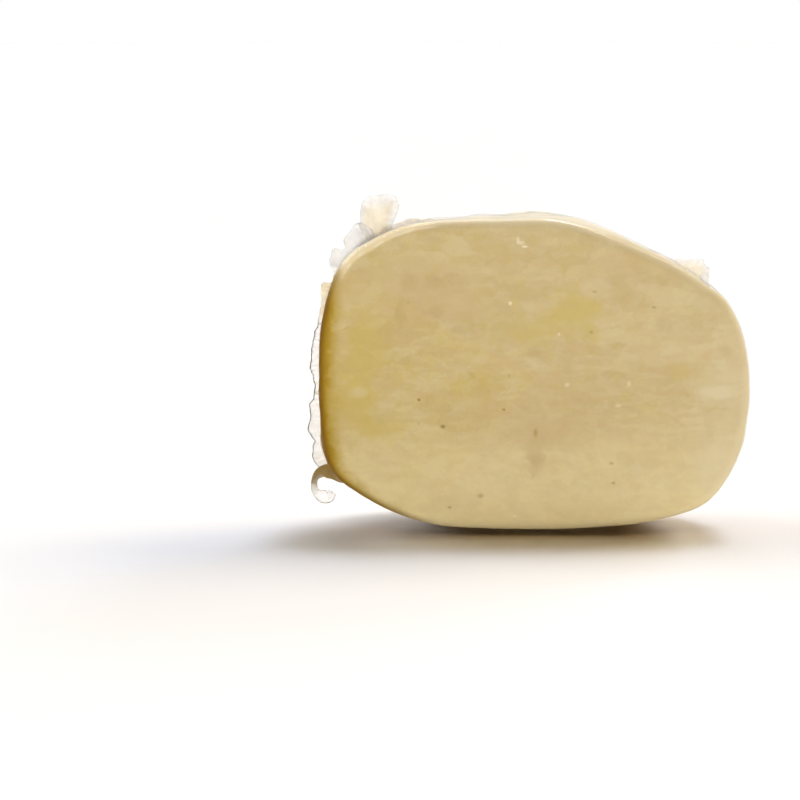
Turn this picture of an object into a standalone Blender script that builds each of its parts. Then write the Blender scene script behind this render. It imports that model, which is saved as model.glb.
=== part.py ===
"""Half wheel of formaggio di fossa in its clear shrink bag.

The half stands on the flat side of the wheel, with the cut face towards -Y and the round rind towards +Y.
The bag clings to the cheese all over, so bag and cheese are one solid. Where the two walls of the bag meet,
their welded seam stands off the rind: ruffled on the left, folded down over the top, with a tab at each
upper corner and a curled end at the lower left.
Lengths are in metres, and the origin is at the middle of the footprint, on the surface it stands on.
"""

import math

import bmesh
import bpy
import numpy as np
from mathutils import Vector, noise

MM = 0.001
NODE = "bagged_half_cheese"

# The half wheel
HALF_WIDTH = 70 * MM
DEPTH = 70 * MM
MID_HEIGHT = 49 * MM
CUT_EDGE_RADIUS = 4 * MM
PLAN_POWER = 2.4  # 2 would be a half circle seen from above
TOP_POWER = 3.6  # how square the wheel's upper edge is, seen from the side
BOTTOM_POWER = 5.0
# The half leans back on the round of its underside, so the cut's lower edge stands off the table. Heights are
# drawn from that edge, and the underside behind it sinks below them and is pressed flat where it meets the table
FRONT_LIFT = 3.5 * MM
UNDERSIDE_SINK, SINK_FULL, SINK_POWER = 4.6 * MM, 0.5, 2
# How far the top rises or sinks behind the cut, as (direction in degrees, mm), and the share where it ends
TOP_RISE_MM = (
    (30, 0.0),
    (45, -0.6),
    (70, -0.4),
    (90, 0.2),
    (104, -1.0),
    (116, -2.6),
    (130, -2.6),
    (150, -0.6),
    (170, 0.0),
)
RISE_END = 0.9

# The cut's outline, clockwise from the left, as (x, height) in mm. Its edge is rounded, so it starts below 0
CUT_OUTLINE_MM = (
    (-70.0, 44.0),
    (-69.0, 66.5),
    (-63.0, 84.6),
    (-52.6, 93.6),
    (-36.0, 99.6),
    (-6.0, 100.6),
    (8.0, 100.2),
    (22.7, 96.0),
    (43.0, 87.2),
    (54.5, 80.2),
    (63.9, 72.2),
    (69.2, 57.0),
    (70.3, 40.0),
    (67.1, 22.2),
    (57.2, 7.6),
    (40.0, 1.6),
    (22.0, -0.3),
    (3.0, -0.9),
    (-16.0, -0.8),
    (-33.0, 0.5),
    (-49.2, 6.0),
    (-64.3, 16.2),
    (-69.0, 28.0),
)
OUTLINE_STEPS = 16

# Rind relief: the size of each kind of feature and how far it stands out or sinks in
LUMP_SIZE, LUMP_DEPTH = 30 * MM, 2.0 * MM
DENT_SIZE, DENT_DEPTH = 12 * MM, 1.7 * MM
POCK_SIZE, POCK_DEPTH, POCK_TOP = 6.5 * MM, 0.9 * MM, 0.1
FOLD_HEIGHTS_MM = (21, 33, 71)
FOLD_WIDTH, FOLD_DEPTH, FOLD_WANDER = 3.2 * MM, 1.7 * MM, 3.0 * MM
FACE_WAVE_SIZE, FACE_WAVE_DEPTH = 38 * MM, 0.45 * MM
RELIEF_START, RELIEF_FULL = 2 * MM, 11 * MM  # the depths between which the rind relief comes in
PRESSED_HEIGHT, PRESSED_SHARE = 12 * MM, 0.3  # how the relief is pressed down towards the underside
NOISE_STEP = (7.3, 3.1, 5.7)  # how far apart two kinds of relief lie in the noise, in feature sizes

# Creases of the bag that run out from where it is gathered, and a pocket of air under it
GATHERS_MM = ((-52, 29, 93), (-62, 26, 14))
CREASES, CREASE_HEIGHT, CREASE_REACH = 11, 1.1 * MM, 17 * MM
CREASE_CLEAR, CREASE_BEND, CREASE_SHARPNESS = 5 * MM, 1.2, 3
POCKET_MM = (24, 66, 62)
POCKET_RADIUS, POCKET_HEIGHT = 8 * MM, 1.5 * MM

# The grid that the half's surface is drawn on: columns, rows, and rings from the cut to the back
COLUMNS, ROWS, RINGS = 38, 26, 15
FINE_RIM = 2  # rings of small cells round the cut face, with larger cells inside them
FACE_GRADE, RIND_GRADE = 1.4, 1.2  # how much the rings crowd towards the cut edge

# The seam: (direction from the cut's middle in degrees, height in mm, lean back in degrees, depth share)
SEAM = (
    (206.0, 2.0, 10, 0.42),
    (202.0, 7.0, 5, 0.42),
    (198.0, 8.2, 5, 0.42),
    (195.8, 5.4, 0, 0.42),
    (191.5, 7.0, 0, 0.42),
    (185.0, 4.0, 0, 0.42),
    (178.5, 5.8, 0, 0.42),
    (169.0, 3.6, 0, 0.42),
    (162.0, 3.4, 0, 0.42),
    (158.5, 5.2, 0, 0.42),
    (156.0, 3.2, 0, 0.42),
    (151.5, 6.8, 0, 0.42),
    (148.5, 3.6, 0, 0.42),
    (144.5, 7.4, 0, 0.42),
    (142.0, 3.0, 0, 0.43),
    (131.0, 3.4, 60, 0.47),
    (124.0, 3.4, 80, 0.53),
    (90.0, 3.4, 82, 0.56),
    (50.0, 3.4, 80, 0.54),
    (40.0, 3.2, 66, 0.48),
    (34.0, 3.2, 20, 0.45),
    (28.0, 3.6, 5, 0.44),
    (16.0, 3.6, 5, 0.44),
    (0.0, 3.9, 5, 0.45),
    (-16.0, 3.8, 5, 0.44),
    (-27.0, 1.6, 10, 0.42),
)
SEAM_STEPS = 130
SEAM_LEVELS = 4
SEAM_ROOT = 1.8 * MM  # how deep its foot is sunk in the half
SEAM_FOOT, SEAM_LIP = 1.4 * MM, 0.8 * MM  # its thickness at the foot and at the free edge
RUFFLE_LENGTH, RUFFLE_SWAY = 9.0 * MM, 1.5 * MM
RUFFLE_DRIFT = 1.5  # how far the ruffles wander from even spacing, in radians
SCALLOP = 1.1 * MM

# The tabs at the upper corners: foot and free edge from left to right as (x, height) in mm, and their depth
LEFT_TAB_FOOT_MM = ((-57.4, 87.5), (-53.6, 89.0), (-49.6, 90.0), (-47.2, 91.5))
LEFT_TAB_EDGE_MM = (
    (-56.3, 100.6),
    (-55.5, 103.8),
    (-53.4, 105.6),
    (-50.2, 106.0),
    (-46.8, 106.3),
    (-44.6, 105.2),
    (-43.4, 102.2),
)
RIGHT_TAB_FOOT_MM = ((42.0, 78.5), (51.0, 76.0), (58.7, 70.0))
RIGHT_TAB_EDGE_MM = ((43.0, 84.9), (48.0, 84.8), (53.0, 84.7), (56.8, 84.6), (57.2, 83.2), (59.0, 81.7))
TAB_DEPTH, TAB_BOW, TAB_WAVE, TAB_STEPS = 29 * MM, 1.6 * MM, 0.8 * MM, 3
TAB_THICKNESS = 0.9 * MM

# The curled end of the seam, a ribbon: its middle line in mm, and how its width turns from the cut's plane
CURL_MM = ((-58.0, 16.6), (-64.5, 17.0), (-69.6, 15.6), (-71.4, 11.2), (-70.3, 7.6), (-65.4, 6.8))
CURL_TURN_DEG = (35, 40, 52, 62, 50, 40)
CURL_DEPTH = 24 * MM
CURL_WIDTHS_MM = (4.2, 4.6, 5.0, 5.0, 6.2, 7.0)
CURL_THICKNESS = 0.9 * MM
CURL_STEPS = 4


def clear_scene():
    for obj in list(bpy.data.objects):
        bpy.data.objects.remove(obj, do_unlink=True)


def spline(knots, steps, closed):
    """Points of a Catmull-Rom curve through the knots, as rows."""
    knots = np.asarray(knots, float)
    if closed:
        padded = np.vstack((knots[-1], knots, knots[:2]))
    else:
        padded = np.vstack((2 * knots[0] - knots[1], knots, 2 * knots[-1] - knots[-2]))
    share = np.linspace(0, 1, steps, endpoint=False)[:, None]
    rows = []
    for before, start, end, after in zip(padded, padded[1:], padded[2:], padded[3:]):
        rows.append(
            start
            + 0.5 * share * (end - before)
            + share**2 * (before - 2.5 * start + 2 * end - 0.5 * after)
            + 0.5 * share**3 * (3 * (start - end) + after - before)
        )
    return np.vstack(rows if closed else [*rows, knots[-1:]])


def outline_table():
    """Directions and distances of the cut's outline, seen from the cut's middle."""
    across, up = (spline(CUT_OUTLINE_MM, OUTLINE_STEPS, closed=True) * MM).T
    direction = np.arctan2(up - MID_HEIGHT, across)
    order = np.argsort(direction)
    return direction[order], np.hypot(across, up - MID_HEIGHT)[order]


OUTLINE = outline_table()


def outline_reach(direction):
    return np.interp(direction, *OUTLINE, period=2 * math.pi)


def width_share(depth_share):
    return np.maximum(1 - depth_share**PLAN_POWER, 0) ** (1 / PLAN_POWER)


def height_share(depth_share, power):
    return np.maximum(1 - depth_share**power, 0) ** (1 / power)


def section_point(direction, inset, depth_share):
    """Where the half's surface lies in a direction from its middle axis, at a share of its depth.
    inset brings it in from the outline, for the rounded cut edge and the cut face."""
    reach = np.maximum(outline_reach(direction) - inset, 0)
    across = np.cos(direction) * reach * width_share(depth_share)
    up = np.sin(direction)
    shrink = np.where(up > 0, height_share(depth_share, TOP_POWER), height_share(depth_share, BOTTOM_POWER))
    rise = np.interp(np.degrees(direction), *np.array(TOP_RISE_MM).T) * MM
    height = MID_HEIGHT + up * reach * shrink + rise * np.sin(math.pi * np.minimum(depth_share / RISE_END, 1))
    sunk = UNDERSIDE_SINK * np.minimum(depth_share / SINK_FULL, 1) * np.maximum(-up, 0) ** SINK_POWER
    return across, height - sunk


def plan_table():
    """Depth shares against the way along the rind from the cut to the back, seen from above."""
    turn = np.linspace(0, math.pi / 2, 400)
    depth_share = np.sin(turn)
    across, back = width_share(depth_share) * HALF_WIDTH, depth_share * DEPTH
    way = np.concatenate(([0], np.cumsum(np.hypot(np.diff(across), np.diff(back)))))
    return way, depth_share


PLAN = plan_table()
HALF_ARC = math.pi / 4 * CUT_EDGE_RADIUS


def surface_point(direction, ring):
    """The half's surface by ring: 0 at the face's middle, 1 on the cut edge, 2 at the back's middle."""
    reach = outline_reach(direction)
    flat = reach - CUT_EDGE_RADIUS
    on_face = ring <= 1
    way = np.where(on_face, ring * (flat + HALF_ARC), (ring - 1) * (PLAN[0][-1] + HALF_ARC - CUT_EDGE_RADIUS))
    turn = np.where(on_face, (way - flat) / CUT_EDGE_RADIUS, math.pi / 4 + way / CUT_EDGE_RADIUS)
    turn = np.clip(turn, 0, math.pi / 2)
    along_face = np.where(on_face, np.minimum(way, flat), flat) + CUT_EDGE_RADIUS * np.sin(turn)
    past_edge = np.maximum(way - HALF_ARC, 0)
    rind_share = np.interp(past_edge + CUT_EDGE_RADIUS, *PLAN)
    depth = np.where(
        on_face | (past_edge == 0),
        CUT_EDGE_RADIUS * (1 - np.cos(turn)),
        rind_share * DEPTH,
    )
    across, height = section_point(direction, reach - along_face, np.minimum(depth / DEPTH, 1))
    return np.stack((across, depth, height), axis=-1)


def grid_shell(columns, rings, rows):
    """The surface of a box of unit cells: its points as (column, ring, row) and its faces.
    The front is drawn in double cells inside a rim of single ones."""
    numbers, points = {}, []

    def numbered(corners):
        for corner in corners:
            if corner not in numbers:
                numbers[corner] = len(points)
                points.append(corner)
        return [numbers[corner] for corner in corners]

    faces = []
    last_i, last_k = columns - FINE_RIM, rows - FINE_RIM
    for i in range(columns):
        for k in range(rows):
            back = [(i, rings, k), (i, rings, k + 1), (i + 1, rings, k + 1), (i + 1, rings, k)]
            faces.append(numbered(back))
            if not (FINE_RIM <= i < last_i and FINE_RIM <= k < last_k):
                faces.append(numbered([(i, 0, k), (i + 1, 0, k), (i + 1, 0, k + 1), (i, 0, k + 1)]))
    for i in range(FINE_RIM, last_i, 2):
        for k in range(FINE_RIM, last_k, 2):
            corners = [(i, k), (i + 2, k), (i + 2, k + 2), (i, k + 2)]
            middles = [(i + 1, k), (i + 2, k + 1), (i + 1, k + 2), (i, k + 1)]
            on_rim = [k == FINE_RIM, i + 2 == last_i, k + 2 == last_k, i == FINE_RIM]
            loop = []
            for corner, middle, shared in zip(corners, middles, on_rim):
                loop += [corner, middle] if shared else [corner]
            faces.append(numbered([(column, 0, row) for column, row in loop]))
    for j in range(rings):
        for i in range(columns):
            for k in (0, rows):
                faces.append(numbered([(i, j, k), (i + 1, j, k), (i + 1, j + 1, k), (i, j + 1, k)]))
        for k in range(rows):
            for i in (0, columns):
                faces.append(numbered([(i, j, k), (i, j + 1, k), (i, j + 1, k + 1), (i, j, k + 1)]))
    return np.array(points, float), faces


def half_grid(columns, rings, rows):
    """Points of the smooth half on the box grid, and their faces."""
    cells, faces = grid_shell(columns, rings, rows)
    across, up = 2 * cells[:, 0] / columns - 1, 2 * cells[:, 2] / rows - 1
    square = np.maximum(np.abs(across), np.abs(up))
    direction = np.arctan2(up * MID_HEIGHT, across * HALF_WIDTH)
    side_end = 1 + rings / (rings + columns / 2)
    ring = np.select(
        (cells[:, 1] == 0, cells[:, 1] == rings),
        (1 - (1 - square) ** FACE_GRADE, 2 - (2 - side_end) * square),
        1 + (side_end - 1) * (cells[:, 1] / rings) ** RIND_GRADE,
    )
    return surface_point(direction, ring), faces


def noise_at(points, size, seed):
    shift = seed * Vector(NOISE_STEP)
    return np.array([noise.noise(Vector(p) / size + shift) for p in points])


def crease_relief(points):
    """Ridges of the bag that run out from where it is gathered and die away."""
    ridges = np.zeros(len(points))
    for gather in np.array(GATHERS_MM) * MM:
        offset = points - gather
        away = np.linalg.norm(offset, axis=1)
        around = np.arctan2(offset[:, 2], offset[:, 1] + 0.5 * np.abs(offset[:, 0]))
        bend = CREASE_BEND * noise_at(points, LUMP_SIZE, 7)
        fade = np.exp(-((away / CREASE_REACH) ** 2)) * np.clip(away / CREASE_CLEAR, 0, 1)
        ridges += fade * np.abs(np.cos(0.5 * CREASES * (around + bend))) ** CREASE_SHARPNESS
    return CREASE_HEIGHT * ridges


def rind_relief(points):
    """How far the rind stands out at each point: lumps, dents, pocks, and folds that the sack pressed in."""
    lumps = LUMP_DEPTH * noise_at(points, LUMP_SIZE, 1)
    dents = DENT_DEPTH * noise_at(points, DENT_SIZE, 2)
    pocks = POCK_DEPTH * np.minimum(noise_at(points, POCK_SIZE, 3), POCK_TOP)
    wander = FOLD_WANDER * noise_at(points * (1, 1, 0.2), LUMP_SIZE, 4)
    fade = np.clip(0.5 + 1.2 * noise_at(points, 1.5 * LUMP_SIZE, 5), 0, 1)
    above = points[:, 2:] + wander[:, None] - np.array(FOLD_HEIGHTS_MM) * MM
    folds = np.exp(-((above / FOLD_WIDTH) ** 2)).sum(axis=1)
    off_pocket = np.linalg.norm(points - np.array(POCKET_MM) * MM, axis=1) / POCKET_RADIUS
    pocket = POCKET_HEIGHT * np.sqrt(np.clip(1 - off_pocket**2, 0, 1))
    return lumps + dents + pocks - FOLD_DEPTH * fade * folds + crease_relief(points) + pocket


def relief(points):
    """The rind's relief behind the cut edge, and a slow wave over the cut face."""
    on_rind = np.clip((points[:, 1] - RELIEF_START) / (RELIEF_FULL - RELIEF_START), 0, 1)
    pressed = np.clip((points[:, 2] + FRONT_LIFT) / PRESSED_HEIGHT, PRESSED_SHARE, 1)
    face = FACE_WAVE_DEPTH * noise_at(points, FACE_WAVE_SIZE, 6)
    return on_rind * pressed * rind_relief(points) + (1 - on_rind) * face


def new_object(name, points, faces, material):
    mesh = bpy.data.meshes.new(name)
    mesh.from_pydata([tuple(map(float, p)) for p in points], [], faces)
    mesh.materials.append(material)
    obj = bpy.data.objects.new(name, mesh)
    bpy.context.scene.collection.objects.link(obj)
    return obj


def make_half(material):
    """The half wheel as the bag draws it in, flat where it stands."""
    points, faces = half_grid(COLUMNS, RINGS, ROWS)
    obj = new_object("half", points, faces, material)
    mesh = bmesh.new()
    mesh.from_mesh(obj.data)
    bmesh.ops.recalc_face_normals(mesh, faces=mesh.faces)
    mesh.normal_update()
    for vertex, push in zip(mesh.verts, relief(points)):
        vertex.co += vertex.normal * push
        vertex.co.z = max(vertex.co.z, -FRONT_LIFT)
    mesh.to_mesh(obj.data)
    mesh.free()
    obj.data.shade_smooth()
    return obj


def seam_rows():
    """Direction, height, lean and depth share along the seam, in even steps, eased between the knots."""
    knots = np.array(SEAM, float)
    direction = np.linspace(knots[0, 0], knots[-1, 0], SEAM_STEPS)
    place = np.interp(-direction, -knots[:, 0], np.arange(len(knots)))
    share = place % 1
    eased = place - share + share**2 * (3 - 2 * share)
    height, lean, depth_share = (np.interp(eased, np.arange(len(knots)), knots[:, n]) for n in (1, 2, 3))
    return np.radians(direction), height * MM, np.radians(lean), depth_share


def unit(vectors):
    return vectors / np.linalg.norm(vectors, axis=-1, keepdims=True)


def seam_sheet():
    """The seam's middle surface as a grid of points: along it, and from its foot to its free edge."""
    direction, height, lean, depth_share = seam_rows()
    across, up = section_point(direction, 0, depth_share)
    foot = np.stack((across, depth_share * DEPTH, up), axis=-1)
    along = unit(np.gradient(foot, axis=0))
    back = np.array((0.0, 1.0, 0.0))
    out = unit(np.cross(along, back))
    stand = np.cos(lean)[:, None] * out + np.sin(lean)[:, None] * back
    way = np.concatenate(([0], np.cumsum(np.linalg.norm(np.diff(foot, axis=0), axis=1))))
    phase = math.pi * way / RUFFLE_LENGTH + RUFFLE_DRIFT * noise_at(foot, 2 * RUFFLE_LENGTH, 8)
    upright = np.cos(lean) ** 2
    edge = height + SCALLOP * upright * np.abs(np.sin(phase))
    sway = RUFFLE_SWAY * upright * np.sin(2 * phase)
    levels = np.linspace(0, 1, SEAM_LEVELS)
    rows = []
    for share in levels:
        reach = share * edge - (1 - share) * SEAM_ROOT
        rows.append(foot + stand * reach[:, None] + back * (sway * share)[:, None])
    return np.stack(rows, axis=1)


def sheet_normals(grid):
    return unit(np.cross(np.gradient(grid, axis=0), np.gradient(grid, axis=1)))


def thick_sheet(grid, push):
    """A closed solid that reaches the push to each side of a grid of points, both faces split alike."""
    steps, levels = grid.shape[:2]
    points = np.concatenate(((grid + push).reshape(-1, 3), (grid - push).reshape(-1, 3)))
    far = steps * levels
    faces = []
    for i in range(steps - 1):
        for j in range(levels - 1):
            a, b = i * levels + j, (i + 1) * levels + j
            c, d = b + 1, a + 1
            faces += [(a, b, c), (a, c, d)]
            faces += [(far + a, far + c, far + b), (far + a, far + d, far + c)]
    rim = [i * levels for i in range(steps)]
    rim += [(steps - 1) * levels + j for j in range(1, levels)]
    rim += [i * levels + levels - 1 for i in range(steps - 2, -1, -1)]
    rim += list(range(levels - 2, 0, -1))
    for a, b in zip(rim, rim[1:] + rim[:1]):
        faces += [(a, far + b, b), (a, far + a, far + b)]
    return points, faces


def make_seam(material):
    grid = seam_sheet()
    thickness = np.linspace(SEAM_FOOT, SEAM_LIP, SEAM_LEVELS)[:, None]
    return new_object("seam", *thick_sheet(grid, sheet_normals(grid) * thickness / 2), material)


def make_tab(name, foot_mm, edge_mm, material):
    """A flat corner of the bag that stands off the half: a bowed sheet from its foot to its free edge."""
    edge = spline(edge_mm, TAB_STEPS, closed=False) * MM
    foot = spline(foot_mm, TAB_STEPS, closed=False) * MM
    places = np.linspace(0, 1, len(edge))
    foot = np.stack([np.interp(places, np.linspace(0, 1, len(foot)), foot[:, n]) for n in (0, 1)], axis=-1)
    rows = []
    for share in np.linspace(0, 1, SEAM_LEVELS):
        line = foot + (edge - foot) * share
        wave = TAB_WAVE * share * np.cos(2 * math.pi * places)
        depth = TAB_DEPTH + TAB_BOW * np.sin(math.pi * share) + wave
        rows.append(np.stack((line[:, 0], depth, line[:, 1]), axis=-1))
    grid = np.stack(rows, axis=1)
    push = np.zeros_like(grid)
    push[..., 1] = -TAB_THICKNESS / 2
    return new_object(name, *thick_sheet(grid, push), material)


def make_curl(material):
    """The seam's free end, a ribbon that curls out and under."""
    knots = np.column_stack((CURL_MM, CURL_WIDTHS_MM)) * MM
    line = spline(np.column_stack((knots, np.radians(CURL_TURN_DEG))), CURL_STEPS, closed=False)
    reach, turn = line[:, 2:3], line[:, 3:]
    middle = np.stack((line[:, 0], np.full(len(line), CURL_DEPTH), line[:, 1]), axis=-1)
    along = unit(np.gradient(middle, axis=0))
    back = np.array((0.0, 1.0, 0.0))
    in_plane = unit(np.cross(back, along))
    width = reach * (np.cos(turn) * in_plane + np.sin(turn) * back)
    grid = np.stack([middle + width * share for share in np.linspace(-0.5, 0.5, SEAM_LEVELS)], axis=1)
    return new_object("curl", *thick_sheet(grid, sheet_normals(grid) * CURL_THICKNESS / 2), material)


def outward(obj):
    """Turns a closed mesh's faces outwards."""
    mesh = bmesh.new()
    mesh.from_mesh(obj.data)
    bmesh.ops.recalc_face_normals(mesh, faces=mesh.faces)
    mesh.to_mesh(obj.data)
    mesh.free()


def fuse(body, additions):
    """One Boolean union of the body and its additions, applied, with the additions removed."""
    group = bpy.data.collections.new("additions")
    bpy.context.scene.collection.children.link(group)
    for obj in additions:
        bpy.context.scene.collection.objects.unlink(obj)
        group.objects.link(obj)
    joint = body.modifiers.new("union", "BOOLEAN")
    joint.operation = "UNION"
    joint.operand_type = "COLLECTION"
    joint.collection = group
    joint.solver = "EXACT"
    joint.material_mode = "TRANSFER"
    bpy.context.view_layer.update()
    fused = bpy.data.meshes.new_from_object(body.evaluated_get(bpy.context.evaluated_depsgraph_get()))
    body.modifiers.clear()
    body.data = fused
    for obj in additions:
        bpy.data.objects.remove(obj, do_unlink=True)
    bpy.data.collections.remove(group)


def centre_footprint(obj):
    """Moves the mesh so that the middle of its box's underside is at the origin."""
    corners = np.array([v.co for v in obj.data.vertices])
    low, high = corners.min(0), corners.max(0)
    middle = (low + high) / 2
    for vertex in obj.data.vertices:
        vertex.co -= Vector((middle[0], middle[1], low[2]))


def principled(name, colour, roughness):
    material = bpy.data.materials.new(name)
    material.use_nodes = True
    shader = material.node_tree.nodes["Principled BSDF"]
    shader.inputs["Base Color"].default_value = (*colour, 1)
    shader.inputs["Roughness"].default_value = roughness
    shader.inputs["Metallic"].default_value = 0
    material.diffuse_color = (*colour, 1)
    return material


def main():
    clear_scene()
    cheese = principled("bagged_cheese", (0.62, 0.47, 0.23), 0.3)
    film = principled("clear_film_seam", (0.86, 0.86, 0.83), 0.25)
    half = make_half(cheese)
    additions = [
        make_seam(film),
        make_tab("left_tab", LEFT_TAB_FOOT_MM, LEFT_TAB_EDGE_MM, film),
        make_tab("right_tab", RIGHT_TAB_FOOT_MM, RIGHT_TAB_EDGE_MM, film),
        make_curl(film),
    ]
    for obj in (half, *additions):
        outward(obj)
    fuse(half, additions)
    half.name = NODE
    half.data.name = NODE
    centre_footprint(half)


main()
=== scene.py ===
# %% [markdown]
# # Half a wheel of pit-aged cheese in its shrink bag
# The object is half of a small, low wheel that aged in a sack in a pit. A clear bag was shrunk on to it, so
# three things show: the cheese itself, the film that clings to it, and the welded seam of the bag, which
# stands off the rind as a ruffled fin. Each is made here as a piece of its own, inside the shape that the
# imported frame holds. The lesson starts by loading that frame.

import math

import bmesh
import bpy
import numpy as np
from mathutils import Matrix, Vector, noise


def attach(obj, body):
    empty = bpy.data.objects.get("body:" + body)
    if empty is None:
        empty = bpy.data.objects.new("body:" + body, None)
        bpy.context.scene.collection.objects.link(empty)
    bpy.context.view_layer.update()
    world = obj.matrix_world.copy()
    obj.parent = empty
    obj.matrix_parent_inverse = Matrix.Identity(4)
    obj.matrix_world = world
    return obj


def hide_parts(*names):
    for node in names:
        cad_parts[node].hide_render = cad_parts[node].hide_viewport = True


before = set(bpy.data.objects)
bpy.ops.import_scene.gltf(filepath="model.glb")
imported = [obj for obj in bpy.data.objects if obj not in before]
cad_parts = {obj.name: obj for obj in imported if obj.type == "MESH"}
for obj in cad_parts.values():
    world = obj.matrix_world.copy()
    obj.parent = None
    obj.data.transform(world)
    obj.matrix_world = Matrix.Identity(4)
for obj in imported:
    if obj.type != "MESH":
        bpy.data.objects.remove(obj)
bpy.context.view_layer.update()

MM = 0.001
NODE = "bagged_half_cheese"

# %% [markdown]
# ## Where the cut lies
# The half was drawn with its cut at depth 0 and its middle axis at width 0, and then moved so that its
# footprint is centred. Everything below is drawn the same way, so that move has to be known. It is read
# off the frame: the lowest Y is the cut, and the middle of the width just behind the cut gives X. The half
# leans back a little on the round of its underside, so the heights start above the floor.

# %% Read the place of the cut off the frame
corners = np.array([v.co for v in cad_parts[NODE].data.vertices])
BY_CUT = 8 * MM
OUTLINE_MIDDLE = 0.15 * MM  # the cut's outline reaches 0.3 mm further to the right than to the left
FACE_LEAD = 0.2 * MM  # how far the cut's waves stand in front of its plane
FRONT_LIFT = 3.5 * MM  # how far the drawing's zero height stands above the floor
CUT_Y = corners[:, 1].min() + FACE_LEAD
near_cut = corners[corners[:, 1] < CUT_Y + BY_CUT, 0]
MIDDLE_X = (near_cut.min() + near_cut.max()) / 2 - OUTLINE_MIDDLE
PLACE = np.array((MIDDLE_X, CUT_Y, FRONT_LIFT))
print("the cut's middle is at", (PLACE / MM).round(2), "mm")

# %% [markdown]
# ## The camera
# The picture was taken from a little above the table with a long lens, straight at the cut. With the cut
# 1.1 m away, one pixel of an 800-pixel frame is 0.3233 mm of the cut's plane, and that gives the lens.

# %% Set up the camera
FRAME_PX, MM_PER_PX, SENSOR_MM = 800, 0.3233, 36
CAMERA_AWAY, CAMERA_UP_DEG = 1.1, 7.5
AIM = PLACE + np.array((-43.3, 0, 41.7)) * MM


def link(obj):
    bpy.context.scene.collection.objects.link(obj)
    return obj


camera = link(bpy.data.objects.new("camera", bpy.data.cameras.new("camera")))
camera.data.sensor_width = SENSOR_MM
camera.data.lens = SENSOR_MM * CAMERA_AWAY / (FRAME_PX * MM_PER_PX * MM)
camera.data.clip_start, camera.data.clip_end = 0.05, 50
tilt = math.radians(CAMERA_UP_DEG)
camera.location = AIM + CAMERA_AWAY * np.array((0, -math.cos(tilt), math.sin(tilt)))
camera.rotation_euler = (math.pi / 2 - tilt, 0, 0)
bpy.context.scene.camera = camera
print("lens", round(camera.data.lens, 1), "mm")

# %% [markdown]
# ## Writing nodes as sums
# Wiring nodes one by one hides the thought behind a finish. The class below wraps one output of a node, so
# that `1 - mask` or `a * b` adds the Math node by itself. Any other node comes from its method `node`,
# which takes the node's type, what goes into its sockets, and its settings. It works in the trees of
# Geometry Nodes as well.


# %% A class that writes nodes as expressions
class Wire:
    """One output of a node in a tree. Operators on it add Math nodes behind it."""

    def __init__(self, tree, socket=None):
        self.tree, self.socket = tree, socket

    def node(self, kind, sockets=(), output=0, **settings):
        made = self.tree.nodes.new(kind)
        for name, value in settings.items():
            setattr(made, name, value)
        for key, value in dict(sockets).items():
            if isinstance(value, Wire):
                self.tree.links.new(value.socket, made.inputs[key])
            else:
                made.inputs[key].default_value = value
        return Wire(self.tree, made.outputs[output] if made.outputs else None)

    def other(self, output):
        """Another output of the same node."""
        return Wire(self.tree, self.socket.node.outputs[output])

    def math(self, operation, *values):
        return self.node("ShaderNodeMath", enumerate(values), operation=operation)

    def vector(self, operation, *values, output=0):
        return self.node("ShaderNodeVectorMath", enumerate((self, *values)), output, operation=operation)

    def scaled(self, length):
        return self.node("ShaderNodeVectorMath", {0: self, "Scale": length}, operation="SCALE")

    def __add__(self, other):
        return self.math("ADD", self, other)

    def __sub__(self, other):
        return self.math("SUBTRACT", self, other)

    def __rsub__(self, other):
        return self.math("SUBTRACT", other, self)

    def __mul__(self, other):
        return self.math("MULTIPLY", self, other)

    def __truediv__(self, other):
        return self.math("DIVIDE", self, other)

    def __pow__(self, power):
        return self.math("POWER", self, power)

    __radd__, __rmul__ = __add__, __mul__

    def fade(self, start, end):
        """0 where the value is at start, 1 where it is at end, and a smooth way between."""
        ends = {"Value": self, "From Min": start, "From Max": end}
        return self.node("ShaderNodeMapRange", ends, interpolation_type="SMOOTHSTEP")

    def mix(self, below, above):
        """A colour, from below where the value is 0 to above where it is 1."""
        return self.node("ShaderNodeMix", {0: self, 6: below, 7: above}, 2, data_type="RGBA")

    def grain(self, size, detail=2.0, rough=0.5):
        """Cloudy noise about 0.5, with features of that size, where the wire is a place."""
        sockets = {"Vector": self, "Scale": 1 / size, "Detail": detail, "Roughness": rough}
        return self.node("ShaderNodeTexNoise", sockets)

    def bump(self, strength, distance):
        """A normal as if the value were relief of that height."""
        sockets = {"Strength": strength, "Distance": distance, "Height": self}
        return self.node("ShaderNodeBump", sockets)

    def as_surface(self):
        self.node("ShaderNodeOutputMaterial", {"Surface": self})

    def on_mesh(self, name):
        """A value that is kept on the points of the mesh."""
        return self.node("ShaderNodeAttribute", output="Fac", attribute_name=name)


def new_finish(name):
    """An empty material and a wire to start its nodes from."""
    material = bpy.data.materials.new(name)
    material.use_nodes = True
    material.node_tree.nodes.clear()
    return material, Wire(material.node_tree)


def srgb(red, green, blue):
    """A colour as it is read off a screen, from 0 to 255, as the linear light that a shader takes."""
    shares = [level / 255 for level in (red, green, blue)]
    return (*[s / 12.92 if s <= 0.04045 else ((s + 0.055) / 1.055) ** 2.4 for s in shares], 1)


print("a mid cream in linear light:", [round(v, 3) for v in srgb(203, 180, 128)])

# %% [markdown]
# ## The light
# A white room has windows on the left, on the right and in the roof, nearly all of them behind the half, so
# its shadow falls towards the camera with a crisp edge and a soft tail. They don't reach the cut. That is
# lit by the wall behind the camera, which is level with it, and so lights it evenly without lighting the
# floor, and a little by a dim, warm window above that wall, which also warms the shadow. Only some windows
# show in the gloss, because too many mirror images would hide the cheese. One long strip light shows only
# in mirrors: it draws the bright line along the cut's upper edge. The camera sees the room as white, and
# the mirrors see it a little darker.

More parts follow.
